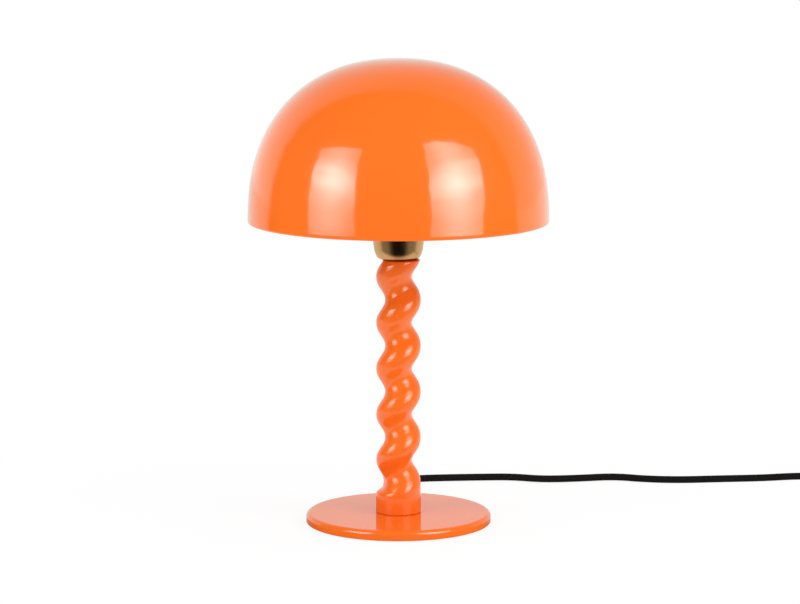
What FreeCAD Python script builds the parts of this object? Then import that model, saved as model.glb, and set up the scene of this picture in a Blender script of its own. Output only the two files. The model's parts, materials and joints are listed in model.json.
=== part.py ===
import FreeCAD, Part
import math
import os

# A table lamp: a round steel base, a lacquered stem turned as a one-strand barley twist, a brass cup
# round the lampholder and a deep spun dome carried on a three-armed spider. A braided mains cord leaves
# the foot of the stem at the back, lies behind the lamp, passes an in-line rocker switch and ends in a
# tied coil and a two-pin plug.
# Millimetres. The origin is the middle of the lamp's foot on the table, +Z is up, and the cord leaves
# towards +Y.

# Base plate and the pad let into its underside
base_diameter = 156.0
base_thickness = 8.2
base_edge_round = 3.6
base_foot_round = 1.0
pad_margin = 8.0
pad_thickness = 1.6
pad_recess = 1.0
pad_gap = 0.4

# Twisted stem: the strand is an off-centre oval that turns as it climbs
stem_height = 215.7
stem_bore = 11.0
collar_diameter = 38.0
collar_height = 16.0
collar_chamfer = 0.8
collar_edge = 0.25
twist_pitch = 39.05
strand_depth = 30.0
strand_width = 31.7
strand_top_angle = -42.0
groove_end = 1.2
groove_runout = 9.0
groove_flare = 4.5
rows_per_turn = 12
section_points = 12

# Screws that hold the stem on the base
screw_circle = 26.0
screw_count = 3
screw_diameter = 4.0
screw_head = 8.0
screw_reach = 15.0

# Threaded bush in the top of the stem, and the hollow nipple and nut that hold the cup
bush_diameter = 14.0
bush_length = 18.0
nipple_diameter = 10.0
nipple_bore = 8.0
nipple_depth = 16.0
nut_flats = 14.0
nut_height = 3.0
thread_gap = 0.1

# Brass cup, drawn in below the lampholder's shoulder and wider than it at the mouth
cup_foot_draw_in = 2.9
cup_waist_draw_in = 0.4
cup_mouth_room = 4.2
cup_waist_height = 6.2
cup_height = 38.0
cup_wall = 1.0
cup_foot_round = 5.0
cup_waist_round = 16.0
cup_hole_gap = 0.2
cup_mouth_gap = 1.0

# Lampholder for a large screw cap
holder_diameter = 39.0
holder_wall = 1.8
holder_neck_diameter = 18.0
holder_neck_height = 4.0
holder_cap_height = 24.0
holder_shoulder_round = 6.0
holder_ledge = 1.6
insert_thickness = 12.0
insert_drop = 3.0
insert_gap = 0.2
skirt_height = 34.0
skirt_lip_gap = 1.1
flange_reach = 3.0
flange_thickness = 2.5
shell_gap = 0.6
shell_wall = 0.5
shell_height = 22.0
contact_diameter = 8.0
contact_height = 1.2

# Spider that carries the dome, and the ring nut that clamps it
spider_sheet = 1.6
spider_ring_diameter = 70.0
spider_ring_gap = 0.3
ring_nut_diameter = 56.0
ring_nut_height = 8.0
ring_nut_round = 1.5
ring_nut_gap = 0.2
arm_count = 3
arm_width = 10.0
arm_gap = 0.6
arm_above_rim = 11.6
foot_height = 15.0
foot_seat_gap = 0.15

# Spun dome: radius and height follow a rounded-square law with an exponent each
shade_diameter = 251.8
dome_height = 136.1
dome_radius_power = 2.22
dome_height_power = 2.34
shade_wall = 1.2
hem_width = 2.6
hem_height = 5.0
dome_points = 8

# Bulb
bulb_diameter = 60.0
bulb_length = 104.0
bulb_flare = 0.9
bulb_glass_wall = 1.0
bulb_cap_diameter = 26.2
bulb_cap_wall = 0.6
bulb_cap_height = 17.0
bulb_flare_height = 5.0
bulb_insulator_height = 4.0
bulb_contact_diameter = 9.0
bulb_contact_height = 2.0

# Cord, its gland at the back of the collar and the two leads inside the stem
cord_diameter = 6.25
floor_gap = 0.05
gland_flange = 12.0
gland_flange_thickness = 2.5
gland_shank = 8.6
gland_shank_gap = 0.2
gland_length = 27.5
gland_tip_diameter = 8.0
gland_root_diameter = 10.4
gland_ribs = 4
gland_groove = 0.9
spotface_depth = 1.5
spotface_gap = 0.5
lead_diameter = 2.2
lead_gap = 1.0
lead_bend = 4.0

# In-line rocker switch, lying along +X on the table
switch_length = 82.0
switch_width = 27.0
switch_height = 19.0
switch_flat_length = 34.0
switch_end_width = 11.0
switch_end_height = 11.0
switch_parting = 7.0
switch_round = 2.0
rocker_length = 17.0
rocker_width = 11.4
rocker_gap = 0.35
rocker_pin_diameter = 3.0
rocker_pin_reach = 2.0
rocker_pin_gap = 0.08
rocker_pin_depth = 5.0
rocker_tilt = 10.0
rocker_rise = 1.6
rocker_skirt = 2.6

# Put-away coil, its strap, and the plug
coil_turns = 5.0
coil_climb_turns = 0.5
coil_outer_radius = 41.8
coil_gap = 0.65
strap_thickness = 0.8
strap_width = 12.0
strap_gap = 0.3
strap_angle = 150.0
plug_length = 38.0
plug_width = 35.3
plug_height = 13.7
plug_grip_width = 25.0
plug_grip_place = 20.0
plug_front_length = 10.0
plug_tail = 11.0
plug_round = 2.0
pin_diameter = 4.0
pin_length = 19.0
pin_spacing = 19.0
pin_sleeve_diameter = 3.8
pin_sleeve_length = 10.0
plug_relief_length = 22.0
plug_relief_tip = 8.2
plug_relief_root = 10.0

# Sizes and levels that follow from those above
pad_diameter = base_diameter - 2 * pad_margin
cup_waist_diameter = holder_diameter + 2 * (cup_wall - cup_waist_draw_in)
cup_foot_diameter = cup_waist_diameter - 2 * cup_foot_draw_in
cup_mouth_diameter = holder_diameter + 2 * (cup_wall + cup_mouth_room)
flange_diameter = holder_diameter + 2 * flange_reach
shell_bore = bulb_cap_diameter + 2 * shell_gap
skirt_lip_bore = shell_bore + 2 * (shell_wall + skirt_lip_gap)
bulb_neck = bulb_cap_diameter + 2 * bulb_flare
lead_spacing = lead_diameter + lead_gap
coil_step = cord_diameter + coil_gap
coil_layer = cord_diameter + coil_gap
plate_low = pad_thickness - pad_recess
plate_top = plate_low + base_thickness
collar_top = plate_top + collar_height
stem_top = plate_top + stem_height
cup_floor = stem_top + cup_wall
nut_top = cup_floor + nut_height
cap_top = nut_top + holder_cap_height
insert_low = cap_top - insert_drop
insert_top = insert_low + insert_thickness
flange_top = stem_top + cup_height + cup_mouth_gap + flange_thickness
spider_top = flange_top + spider_sheet
skirt_top = cap_top + skirt_height
rim_z = spider_top - arm_above_rim
contact_top = insert_top + contact_height
gland_z = plate_top + collar_height / 2
spot_y = collar_diameter / 2 - spotface_depth
gland_tip_y = spot_y + gland_length
cord_low = cord_diameter / 2 + floor_gap
coil_low = floor_gap + strap_thickness + strap_gap + cord_diameter / 2
switch_axis_z = floor_gap + switch_end_height / 2
plug_axis_z = floor_gap + plug_height / 2

UP = FreeCAD.Vector(0, 0, 1)
nodes = {}


def vec(x, y, z=0.0):
    return FreeCAD.Vector(x, y, z)


def unit(v):
    return FreeCAD.Vector(v).normalize()


def rounded_corner(before, corner, after, radius):
    """The start, middle and end of an arc of this radius that is tangent to both runs at a corner."""
    back = unit(before - corner)
    ahead = unit(after - corner)
    half_turn = (math.pi - back.getAngle(ahead)) / 2
    reach = radius * math.tan(half_turn)
    inside = unit(back + ahead) * (radius / math.cos(half_turn) - radius)
    return corner + back * reach, corner + inside, corner + ahead * reach


def path_edges(points, radii):
    """Straight runs through the points, with a tangent arc of the given radius at each inner point."""
    edges = []
    here = points[0]
    for before, corner, after, radius in zip(points, points[1:], points[2:], radii):
        start, middle, end = rounded_corner(before, corner, after, radius)
        edges.append(Part.LineSegment(here, start).toShape())
        edges.append(Part.Arc(start, middle, end).toShape())
        here = end
    edges.append(Part.LineSegment(here, points[-1]).toShape())
    return edges


def outline(corners):
    """A closed wire through (point, rounding) corners, with a tangent arc wherever the rounding isn't 0."""
    ways = []
    for k, (corner, radius) in enumerate(corners):
        before = corners[k - 1][0]
        after = corners[(k + 1) % len(corners)][0]
        if radius > 0:
            ways.append(rounded_corner(before, corner, after, radius))
        else:
            ways.append((corner, None, corner))
    edges = []
    for k, (start, middle, end) in enumerate(ways):
        if middle is not None:
            edges.append(Part.Arc(start, middle, end).toShape())
        following = ways[(k + 1) % len(ways)][0]
        if end.distanceToPoint(following) > 1e-6:
            edges.append(Part.LineSegment(end, following).toShape())
    return Part.Wire(edges)


def turned(corners):
    """A solid turned about Z from a section of (radius, height) or (radius, height, rounding) corners."""
    section = [(vec(c[0], 0, c[1]), c[2] if len(c) > 2 else 0.0) for c in corners]
    return Part.Face(outline(section)).revolve(vec(0, 0, 0), UP, 360)


def rod(diameter, low, high, x=0.0, y=0.0):
    return Part.makeCylinder(diameter / 2, high - low, vec(x, y, low))


def along(shape, origin, direction):
    """A copy of a shape turned about Z, with its axis laid along a direction and its foot at an origin."""
    copy = shape.copy()
    copy.Placement = FreeCAD.Placement(origin, FreeCAD.Rotation(UP, direction))
    return copy


def around(shape, angle):
    """A copy of a shape turned by an angle in degrees about the lamp's axis."""
    copy = shape.copy()
    copy.rotate(vec(0, 0, 0), UP, angle)
    return copy


def tapered_sleeve(length, root, tip, ribs, groove):
    """A strain relief that tapers along Z from its root to its tip, ringed by evenly spaced grooves."""
    step = length / (2 * ribs + 1)
    corners = [(0, 0), (root / 2, 0)]
    for k in range(1, 2 * ribs + 1):
        radius = (root + (tip - root) * k / (2 * ribs + 1)) / 2
        corners.append((radius - groove * (1 - k % 2), k * step))
        corners.append((radius - groove * (k % 2), k * step))
    corners.append((tip / 2, length))
    corners.append((0, length))
    return turned(corners)


def half_outlined_block(plan, side, width):
    """A block that has one outline from above, mirrored about its length, and another from the side."""
    mirrored = [(vec(p.x, -p.y), r) for p, r in reversed(plan)]
    top = max(p.z for p, r in side)
    low = min(p.z for p, r in side)
    from_above = Part.Face(outline(plan + mirrored)).extrude(UP * (top - low))
    from_above.translate(UP * low)
    from_side = Part.Face(outline(side)).extrude(vec(0, width))
    from_side.translate(vec(0, -width / 2))
    return from_above.common(from_side)


# Base plate, pad and screws

def base_plate():
    radius = base_diameter / 2
    recess = pad_diameter / 2 + pad_gap
    plate = turned([
        (0, plate_low + pad_recess), (recess, plate_low + pad_recess), (recess, plate_low),
        (radius, plate_low, base_foot_round), (radius, plate_top, base_edge_round), (0, plate_top),
    ])
    for x, y in screw_places():
        plate = plate.cut(screw_form(x, y, thread_gap))
    return plate


def screw_places():
    turn = 2 * math.pi / screw_count
    return [
        (screw_circle / 2 * math.sin(turn * k), -screw_circle / 2 * math.cos(turn * k))
        for k in range(screw_count)
    ]


def screw_form(x, y, gap):
    """A countersunk screw standing up from the recess under the plate, or the hole that it needs."""
    head = screw_head / 2 + gap
    shank = screw_diameter / 2 + gap
    low = plate_low + pad_recess
    screw = turned([
        (0, low), (head, low), (shank, low + head - shank),
        (shank, plate_top + screw_reach + gap), (0, plate_top + screw_reach + gap),
    ])
    screw.translate(vec(x, y))
    return screw


def base_parts():
    nodes["base_plate"] = base_plate()
    nodes["base_pad"] = rod(pad_diameter, 0, pad_thickness)
    for k, (x, y) in enumerate(screw_places()):
        nodes["base_screw_%d" % (k + 1)] = screw_form(x, y, 0.0)


# Twisted stem

def eased(share):
    """A share held between 0 and 1, with a soft start and end."""
    share = min(max(share, 0.0), 1.0)
    return share * share * (3 - 2 * share)


def strand_section(z):
    """The stem's closed outline at a height: a turning off-centre oval, round where the groove has run out."""
    crest = collar_diameter / 2 - collar_edge
    offset = crest - strand_depth / 2
    turn = math.radians(strand_top_angle) + 2 * math.pi * (z - stem_top) / twist_pitch
    out = vec(math.cos(turn), math.sin(turn))
    aside = vec(-math.sin(turn), math.cos(turn))
    flare = eased((z - collar_top) / groove_flare)
    points = []
    for k in range(section_points):
        t = (2 * math.pi * k / section_points - turn + math.pi) % (2 * math.pi) - math.pi
        groove_z = z + (t - math.copysign(math.pi, t)) * twist_pitch / (2 * math.pi)
        share = flare * eased((groove_z - collar_top - groove_end) / groove_runout)
        deep = crest * math.cos(t) * (1 - share) + (offset + strand_depth / 2 * math.cos(t)) * share
        wide = (crest * (1 - share) + strand_width / 2 * share) * math.sin(t)
        points.append(out * deep + aside * wide + UP * z)
    evenly = [k / section_points for k in range(section_points + 1)]
    curve = Part.BSplineCurve()
    curve.interpolate(Points=points, PeriodicFlag=True, Parameters=evenly)
    return Part.Wire(curve.toShape())


def stem():
    """The twist, lofted through rows of turned sections, on a plain collar with all its bores."""
    length = stem_top - collar_top
    rows = math.ceil(length * rows_per_turn / twist_pitch)
    sections = [strand_section(collar_top + length * k / rows) for k in range(rows + 1)]
    twist = Part.makeLoft(sections, True, True)
    radius = collar_diameter / 2
    collar = turned([
        (0, plate_top), (radius - collar_chamfer, plate_top), (radius, plate_top + collar_chamfer),
        (radius, collar_top, collar_edge / 2), (0, collar_top),
    ])
    body = collar.fuse(twist)
    body = body.cut(rod(stem_bore, plate_top, stem_top))
    body = body.cut(rod(bush_diameter + 2 * thread_gap, stem_top - bush_length, stem_top))
    body = body.cut(along(rod(gland_shank + 2 * gland_shank_gap, 0, radius), vec(0, 0, gland_z), vec(0, 1)))
    spotface = rod(gland_flange + 2 * spotface_gap, 0, radius)
    body = body.cut(along(spotface, vec(0, spot_y, gland_z), vec(0, 1)))
    for x, y in screw_places():
        body = body.cut(screw_form(x, y, thread_gap))
    return body


def stem_parts():
    nodes["stem"] = stem()
    bush = rod(bush_diameter, stem_top - bush_length, stem_top)
    nodes["stem_bush"] = bush.cut(rod(nipple_diameter + 2 * thread_gap, stem_top - bush_length, stem_top))
    nipple = rod(nipple_diameter, stem_top - nipple_depth, nut_top + holder_neck_height)
    nodes["nipple"] = nipple.cut(rod(nipple_bore, stem_top - nipple_depth, nut_top + holder_neck_height))


# Brass cup and lampholder

def hexagon(flats, low, height):
    corner = flats / math.sqrt(3)
    turn = math.pi / 3
    ring = [vec(corner * math.cos(turn * k), corner * math.sin(turn * k), low) for k in range(7)]
    return Part.Face(Part.makePolygon(ring)).extrude(UP * height)


def socket_cup():
    foot = cup_foot_diameter / 2
    waist = cup_waist_diameter / 2
    mouth = cup_mouth_diameter / 2
    hole = nipple_diameter / 2 + cup_hole_gap
    waist_z = stem_top + cup_waist_height
    mouth_z = stem_top + cup_height
    return turned([
        (hole, stem_top), (foot, stem_top, cup_foot_round), (waist, waist_z, cup_waist_round),
        (mouth, mouth_z), (mouth - cup_wall, mouth_z),
        (waist - cup_wall, waist_z, cup_waist_round - cup_wall),
        (foot - cup_wall, cup_floor, cup_foot_round - cup_wall), (hole, cup_floor),
    ])


def holder_cap():
    outer = holder_diameter / 2
    inner = outer - holder_wall
    neck = holder_neck_diameter / 2
    hole = nipple_diameter / 2 + thread_gap
    shoulder_z = nut_top + holder_neck_height
    return turned([
        (hole, nut_top), (neck, nut_top), (neck, shoulder_z),
        (outer, shoulder_z + holder_neck_height, holder_shoulder_round), (outer, cap_top), (inner, cap_top),
        (inner, insert_low), (inner - holder_ledge, insert_low),
        (inner - holder_ledge, shoulder_z + holder_neck_height + holder_wall,
         holder_shoulder_round - holder_wall),
        (neck, shoulder_z + holder_wall), (hole, shoulder_z + holder_wall),
    ])


def holder_skirt():
    outer = holder_diameter / 2
    lip = skirt_lip_bore / 2
    flange = flange_diameter / 2
    room = outer - holder_wall
    ledge_z = insert_top + insert_gap
    return turned([
        (room, cap_top), (outer, cap_top), (outer, flange_top - flange_thickness),
        (flange, flange_top - flange_thickness), (flange, flange_top), (outer, flange_top),
        (outer, skirt_top, holder_wall / 2), (lip, skirt_top, holder_wall / 2),
        (lip, ledge_z), (room, ledge_z),
    ])


def holder_parts():
    nodes["socket_cup"] = socket_cup()
    nut_hole = rod(nipple_diameter + 2 * thread_gap, cup_floor, nut_top)
    nodes["cup_nut"] = hexagon(nut_flats, cup_floor, nut_height).cut(nut_hole)
    nodes["holder_cap"] = holder_cap()
    insert_diameter = holder_diameter - 2 * (holder_wall + insert_gap)
    nodes["holder_insert"] = rod(insert_diameter, insert_low, insert_top)
    nodes["holder_skirt"] = holder_skirt()
    shell = rod(shell_bore + 2 * shell_wall, insert_top, insert_top + shell_height)
    nodes["screw_shell"] = shell.cut(rod(shell_bore, insert_top, insert_top + shell_height))
    nodes["centre_contact"] = rod(contact_diameter, insert_top, contact_top)


# Dome and spider

def dome_curve(inset, low):
    """The dome's section, an inset inside its outer face, from a height above the rim up to the crown."""
    radius = shade_diameter / 2 - inset
    height = dome_height - inset
    start = math.acos((low / height) ** (dome_height_power / 2))
    points = []
    for k in range(dome_points + 1):
        t = start * (1 - k / dome_points)
        r = radius * math.sin(t) ** (2 / dome_radius_power)
        points.append(vec(r, 0, rim_z + height * math.cos(t) ** (2 / dome_height_power)))
    lean = radius / dome_radius_power * math.sin(start) ** (2 / dome_radius_power - 1) * math.cos(start)
    rise = height / dome_height_power * math.cos(start) ** (2 / dome_height_power - 1) * math.sin(start)
    curve = Part.BSplineCurve()
    curve.interpolate(Points=points, InitialTangent=vec(-lean, 0, rise), FinalTangent=vec(-1, 0, 0))
    return curve.toShape()


def run_edges(*points):
    return [Part.LineSegment(a, b).toShape() for a, b in zip(points, points[1:])]


def shade():
    """The spun dome with its edge turned in and rounded over as a hem."""
    radius = shade_diameter / 2
    outer = dome_curve(0.0, hem_width / 2)
    inner = dome_curve(shade_wall, hem_height + hem_width - shade_wall)
    outer_rim = outer.firstVertex().Point
    inner_rim = inner.firstVertex().Point
    hem_low = vec(radius - hem_width, 0, rim_z + hem_width / 2)
    hem_high = vec(radius - hem_width, 0, rim_z + hem_height)
    fold = Part.Arc(hem_low, vec(radius - hem_width / 2, 0, rim_z), outer_rim).toShape()
    crown = run_edges(outer.lastVertex().Point, inner.lastVertex().Point)
    hem = run_edges(inner_rim, hem_high, hem_low)
    section = Part.Wire(Part.__sortEdges__([outer, inner, fold] + crown + hem))
    return Part.Face(section).revolve(vec(0, 0, 0), UP, 360)


def dome_room(inset):
    """The space under the dome as a solid, an inset inside its outer face."""
    curve = dome_curve(inset, arm_above_rim / 2)
    low = curve.firstVertex().Point
    close = run_edges(curve.lastVertex().Point, vec(0, 0, low.z), low)
    return Part.Face(Part.Wire([curve] + close)).revolve(vec(0, 0, 0), UP, 360)


def spider_arm():
    """A flat strip from the ring to the dome along +X, turned up against the dome's wall as a foot."""
    start = ring_nut_diameter / 2 + arm_gap
    reach = shade_diameter / 2
    room = dome_room(shade_wall + foot_seat_gap)
    strip = Part.makeBox(reach - start, arm_width, spider_sheet, vec(start, -arm_width / 2, spider_top))
    skin = room.cut(dome_room(shade_wall + foot_seat_gap + spider_sheet))
    foot = Part.makeBox(reach / 2, arm_width, foot_height, vec(reach / 2, -arm_width / 2, spider_top))
    return strip.common(room).fuse(foot.common(skin)).removeSplitter()


def shade_parts():
    nodes["shade"] = shade()
    ring = rod(spider_ring_diameter, flange_top, spider_top)
    nodes["spider_ring"] = ring.cut(rod(holder_diameter + 2 * spider_ring_gap, flange_top, spider_top))
    arm = spider_arm()
    for k in range(arm_count):
        nodes["spider_arm_%d" % (k + 1)] = around(arm, 90 + 360 * k / arm_count)
    hole = holder_diameter / 2 + ring_nut_gap
    outer = ring_nut_diameter / 2
    nodes["ring_nut"] = turned([
        (hole, spider_top), (outer, spider_top, ring_nut_round / 2),
        (outer, spider_top + ring_nut_height, ring_nut_round), (hole, spider_top + ring_nut_height),
    ])


# Bulb

def bulb_glass(inset):
    """The bulb's pear form: a ball that runs into a straight neck through one hollow arc."""
    ball = bulb_diameter / 2 - inset
    neck = bulb_neck / 2 - inset
    neck_z = bulb_cap_top()
    ball_z = contact_top + bulb_length - bulb_diameter / 2
    drop = ball_z - neck_z
    hollow = (neck ** 2 + drop ** 2 - ball ** 2) / (2 * (ball - neck))
    lean = math.atan2(drop, neck + hollow)
    meet = vec(ball * math.cos(lean), 0, ball_z - ball * math.sin(lean))
    low = vec(neck, 0, neck_z)
    half = lean / 2
    waist = vec(neck + hollow - hollow * math.cos(half), 0, neck_z + hollow * math.sin(half))
    crown = vec(0, 0, ball_z + ball)
    side = vec(ball, 0, ball_z)
    edges = [
        Part.Arc(low, waist, meet).toShape(), Part.Arc(meet, side, crown).toShape(),
    ]
    edges += run_edges(crown, vec(0, 0, neck_z), low)
    return Part.Face(Part.Wire(edges)).revolve(vec(0, 0, 0), UP, 360)


def bulb_cap_low():
    return contact_top + bulb_contact_height + bulb_insulator_height


def bulb_cap_top():
    return bulb_cap_low() + bulb_cap_height + bulb_flare_height


def bulb_parts():
    cap = bulb_cap_diameter / 2
    flare = bulb_neck / 2
    low = bulb_cap_low()
    top = bulb_cap_top()
    contact = bulb_contact_diameter / 2
    nodes["bulb_glass"] = bulb_glass(0.0).cut(bulb_glass(bulb_glass_wall))
    nodes["bulb_cap"] = turned([
        (0, low), (cap, low), (cap, top - bulb_flare_height), (flare, top - bulb_flare_height / 2),
        (flare, top), (flare - bulb_cap_wall, top), (cap - bulb_cap_wall, top - bulb_flare_height),
        (cap - bulb_cap_wall, low + bulb_cap_wall), (0, low + bulb_cap_wall),
    ])
    nodes["bulb_insulator"] = turned([
        (0, low - bulb_insulator_height), (contact, low - bulb_insulator_height), (cap, low), (0, low),
    ])
    nodes["bulb_contact"] = rod(bulb_contact_diameter, contact_top, low - bulb_insulator_height)


# Cord

# The cord's route behind the lamp: out of the gland, down to the table, round to the right and along it
# in slow waves to the switch
lead_route = [
    vec(0, gland_tip_y, gland_z), vec(0, 72, gland_z), vec(-4, 100, 8.8), vec(-9, 121, cord_low),
    vec(-7, 136.5, cord_low), vec(2.4, 151.3, cord_low), vec(17.2, 160.6, cord_low), vec(44, 163.9, cord_low),
    vec(74, 166.4, cord_low), vec(103, 167.6, cord_low), vec(128, 157.4, cord_low), vec(159, 160.6, cord_low),
    vec(194, 169.4, cord_low), vec(221, 158, cord_low), vec(252, 154.4, cord_low), vec(288, 159, cord_low),
    vec(326, 162.5, cord_low), vec(354, 159, switch_axis_z), vec(372, 159, switch_axis_z),
]
switch_start = lead_route[-1]
switch_end = switch_start + vec(switch_length, 0)
tail_route = [
    switch_end, switch_end + vec(20, 0), vec(491, 148.4, coil_low), vec(500.4, 130.7, coil_low),
    vec(502.4, 110.8, coil_low), vec(502.4, 93, coil_low),
]
coil_centre = tail_route[-1] - vec(coil_outer_radius, cord_diameter)
coil_exit = tail_route[-1] - vec(0, 2 * cord_diameter) + UP * coil_layer
end_route = [
    coil_exit, coil_exit - vec(0, 20), vec(coil_exit.x, coil_exit.y - 42, plug_axis_z),
    vec(coil_exit.x, coil_exit.y - 62, plug_axis_z),
]


def bend_radii(points):
    """The largest arcs that fit a route: 0.45 of the shorter run over the tangent of half the turn."""
    radii = []
    for before, corner, after in zip(points, points[1:], points[2:]):
        half_turn = (math.pi - (before - corner).getAngle(after - corner)) / 2
        run = min(before.distanceToPoint(corner), after.distanceToPoint(corner))
        radii.append(0.45 * run / math.tan(half_turn))
    return radii


def tube(edges, diameter):
    """A round tube along joined edges, checked against its section times its length."""
    path = Part.Wire(edges)
    start = edges[0].valueAt(edges[0].FirstParameter)
    heading = edges[0].tangentAt(edges[0].FirstParameter)
    ring = Part.Wire(Part.makeCircle(diameter / 2, start, heading))
    solid = path.makePipeShell([ring], True, False)
    expected = math.pi * diameter ** 2 / 4 * path.Length
    if abs(solid.Volume / expected - 1) > 0.01:
        raise ValueError("a tube's volume differs from its section times its length")
    return solid


def routed_cord(name, points):
    radii = bend_radii(points)
    edges = path_edges(points, radii)
    nodes[name] = tube(edges, cord_diameter)
    length = sum(edge.Length for edge in edges)
    print("%s: length %.0f mm, bend radii" % (name, length), " ".join("%.0f" % r for r in radii))
    return length


def arc_from(start, heading, end):
    """The middle of the arc that leaves a start along a heading and comes to an end."""
    chord = end - start
    swing = heading.getAngle(chord)
    aside = unit(heading - unit(chord) * heading.dot(unit(chord)))
    return (start + end) * 0.5 + aside * (chord.Length / 2 * math.tan(swing / 2))


def biarc(start, heading, end, leaving):
    """Two tangent arcs from one point and heading to another."""
    span = end - start
    both = heading + leaving
    spread = 2 * (1 - heading.dot(leaving))
    reach = (math.sqrt(span.dot(both) ** 2 + spread * span.dot(span)) - span.dot(both)) / spread
    joint = (start + end + (heading - leaving) * reach) * 0.5
    first = Part.Arc(start, arc_from(start, heading, joint), joint)
    second = Part.Arc(joint, arc_from(end, leaving * -1, joint), end)
    return [first.toShape(), second.toShape()]


def coil_flat_turns():
    """The turns in each of the coil's two layers."""
    return (coil_turns - coil_climb_turns) / 2


def coil_place(turn):
    """A point of the coil: in along the lower layer, up a layer in half a turn, out along the upper one."""
    flat = coil_flat_turns()
    climb = min(max(turn - flat, 0.0), coil_climb_turns)
    beyond = max(turn - flat - coil_climb_turns, 0.0)
    share = climb / coil_climb_turns
    radius = coil_outer_radius - coil_step * (min(turn, flat) + climb * (1 - share) - beyond)
    height = coil_layer * share * share * (3 - 2 * share)
    angle = -2 * math.pi * turn
    return coil_centre + vec(radius * math.cos(angle), radius * math.sin(angle), height)


def coil_heading(turn):
    return unit(coil_place(turn + 1e-4) - coil_place(turn - 1e-4))


def least_gap(points, thickness):
    """The smallest clear distance between stretches of a wound tube that lie over half a turn apart."""
    apart = len(points) // int(2 * coil_turns)
    least = min(
        points[i].distanceToPoint(points[j])
        for i in range(len(points)) for j in range(i + apart, len(points))
    )
    return least - thickness


def coiled_cord():
    start = tail_route[-1]
    down = vec(0, -1)
    edges = run_edges(start, coil_place(0))
    flat = coil_flat_turns()
    half_turns = math.ceil(2 * flat)
    going_in = [flat * k / half_turns for k in range(half_turns + 1)]
    turns = going_in + [coil_turns / 2] + [coil_turns - turn for turn in reversed(going_in)]
    stops = [(coil_place(turn), coil_heading(turn)) for turn in turns]
    stops[0] = (coil_place(0), down)
    stops[-1] = (coil_place(coil_turns), down)
    for (here, heading), (there, leaving) in zip(stops, stops[1:]):
        edges += biarc(here, heading, there, leaving)
    edges += run_edges(coil_place(coil_turns), coil_exit)
    nodes["cord_coil"] = tube(edges, cord_diameter)
    points = []
    for edge in edges:
        points += edge.discretize(Number=max(2, int(edge.Length / 2.5)))[:-1]
    print("cord_coil: length %.0f mm" % sum(edge.Length for edge in edges))
    print("cord_coil: least gap to itself %.2f mm" % least_gap(points, cord_diameter))
    return sum(edge.Length for edge in edges)


def coil_strap():
    """A flat strap closed round both layers of the coil at one side, clear of the curve of its turns."""
    smallest = coil_outer_radius - coil_step * (coil_flat_turns() + coil_climb_turns / 4)
    inner = math.sqrt((smallest - cord_diameter / 2) ** 2 - strap_width ** 2 / 4)
    outer = coil_outer_radius + cord_diameter / 2
    high = coil_low + coil_layer + cord_diameter / 2
    low = coil_low - cord_diameter / 2
    round_in = cord_diameter / 2
    walls = []
    for gap in (strap_gap, strap_gap + strap_thickness):
        corners = [
            (inner - gap, low - gap), (outer + gap, low - gap),
            (outer + gap, high + gap), (inner - gap, high + gap),
        ]
        section = outline([(vec(x, 0, z), round_in + gap) for x, z in corners])
        wall = Part.Face(section).extrude(vec(0, strap_width))
        wall.translate(vec(0, -strap_width / 2))
        walls.append(wall)
    strap = around(walls[1].cut(walls[0]), strap_angle)
    strap.translate(vec(coil_centre.x, coil_centre.y))
    nodes["coil_strap"] = strap


def stem_leads():
    """Two leads that turn up from the gland's inner end and run through the stem to the lampholder."""
    top = insert_low
    for name, side in (("lead_live", 1), ("lead_neutral", -1)):
        x = side * lead_spacing / 2
        points = [vec(x, stem_bore / 2, gland_z), vec(x, 0, gland_z), vec(x, 0, top)]
        nodes[name] = tube(path_edges(points, [lead_bend]), lead_diameter)


def cord_gland():
    sleeve_length = gland_length - gland_flange_thickness
    sleeve = tapered_sleeve(sleeve_length, gland_root_diameter, gland_tip_diameter, gland_ribs, gland_groove)
    flange = rod(gland_flange, -gland_flange_thickness, 0)
    shank = rod(gland_shank, stem_bore / 2 - spot_y - gland_flange_thickness, -gland_flange_thickness)
    gland = sleeve.fuse([flange, shank]).removeSplitter()
    return along(gland, vec(0, spot_y + gland_flange_thickness, gland_z), vec(0, 1))


def cord_parts():
    nodes["cord_gland"] = cord_gland()
    stem_leads()
    total = routed_cord("cord_lead", lead_route)
    total += routed_cord("cord_tail", tail_route)
    total += coiled_cord()
    total += routed_cord("cord_end", end_route)
    coil_strap()
    total += switch_length + gland_length + plug_relief_length
    print("cord with what it passes through: %.0f mm" % total)


# In-line switch

def switch_block():
    """The switch's closed body: boat-shaped from above, flat below and crowned on top, along X."""
    half = switch_length / 2
    flat = switch_flat_length / 2
    plan = [
        (vec(-half, switch_end_width / 2), 0.0), (vec(-flat, switch_width / 2), switch_flat_length / 2),
        (vec(flat, switch_width / 2), switch_flat_length / 2), (vec(half, switch_end_width / 2), 0.0),
    ]
    side = [
        (vec(-half, 0, 0), switch_round), (vec(half, 0, 0), switch_round),
        (vec(half, 0, switch_end_height), switch_round),
        (vec(flat, 0, switch_height), switch_flat_length / 2),
        (vec(-flat, 0, switch_height), switch_flat_length / 2),
        (vec(-half, 0, switch_end_height), switch_round),
    ]
    return half_outlined_block(plan, side, switch_width)


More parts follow.
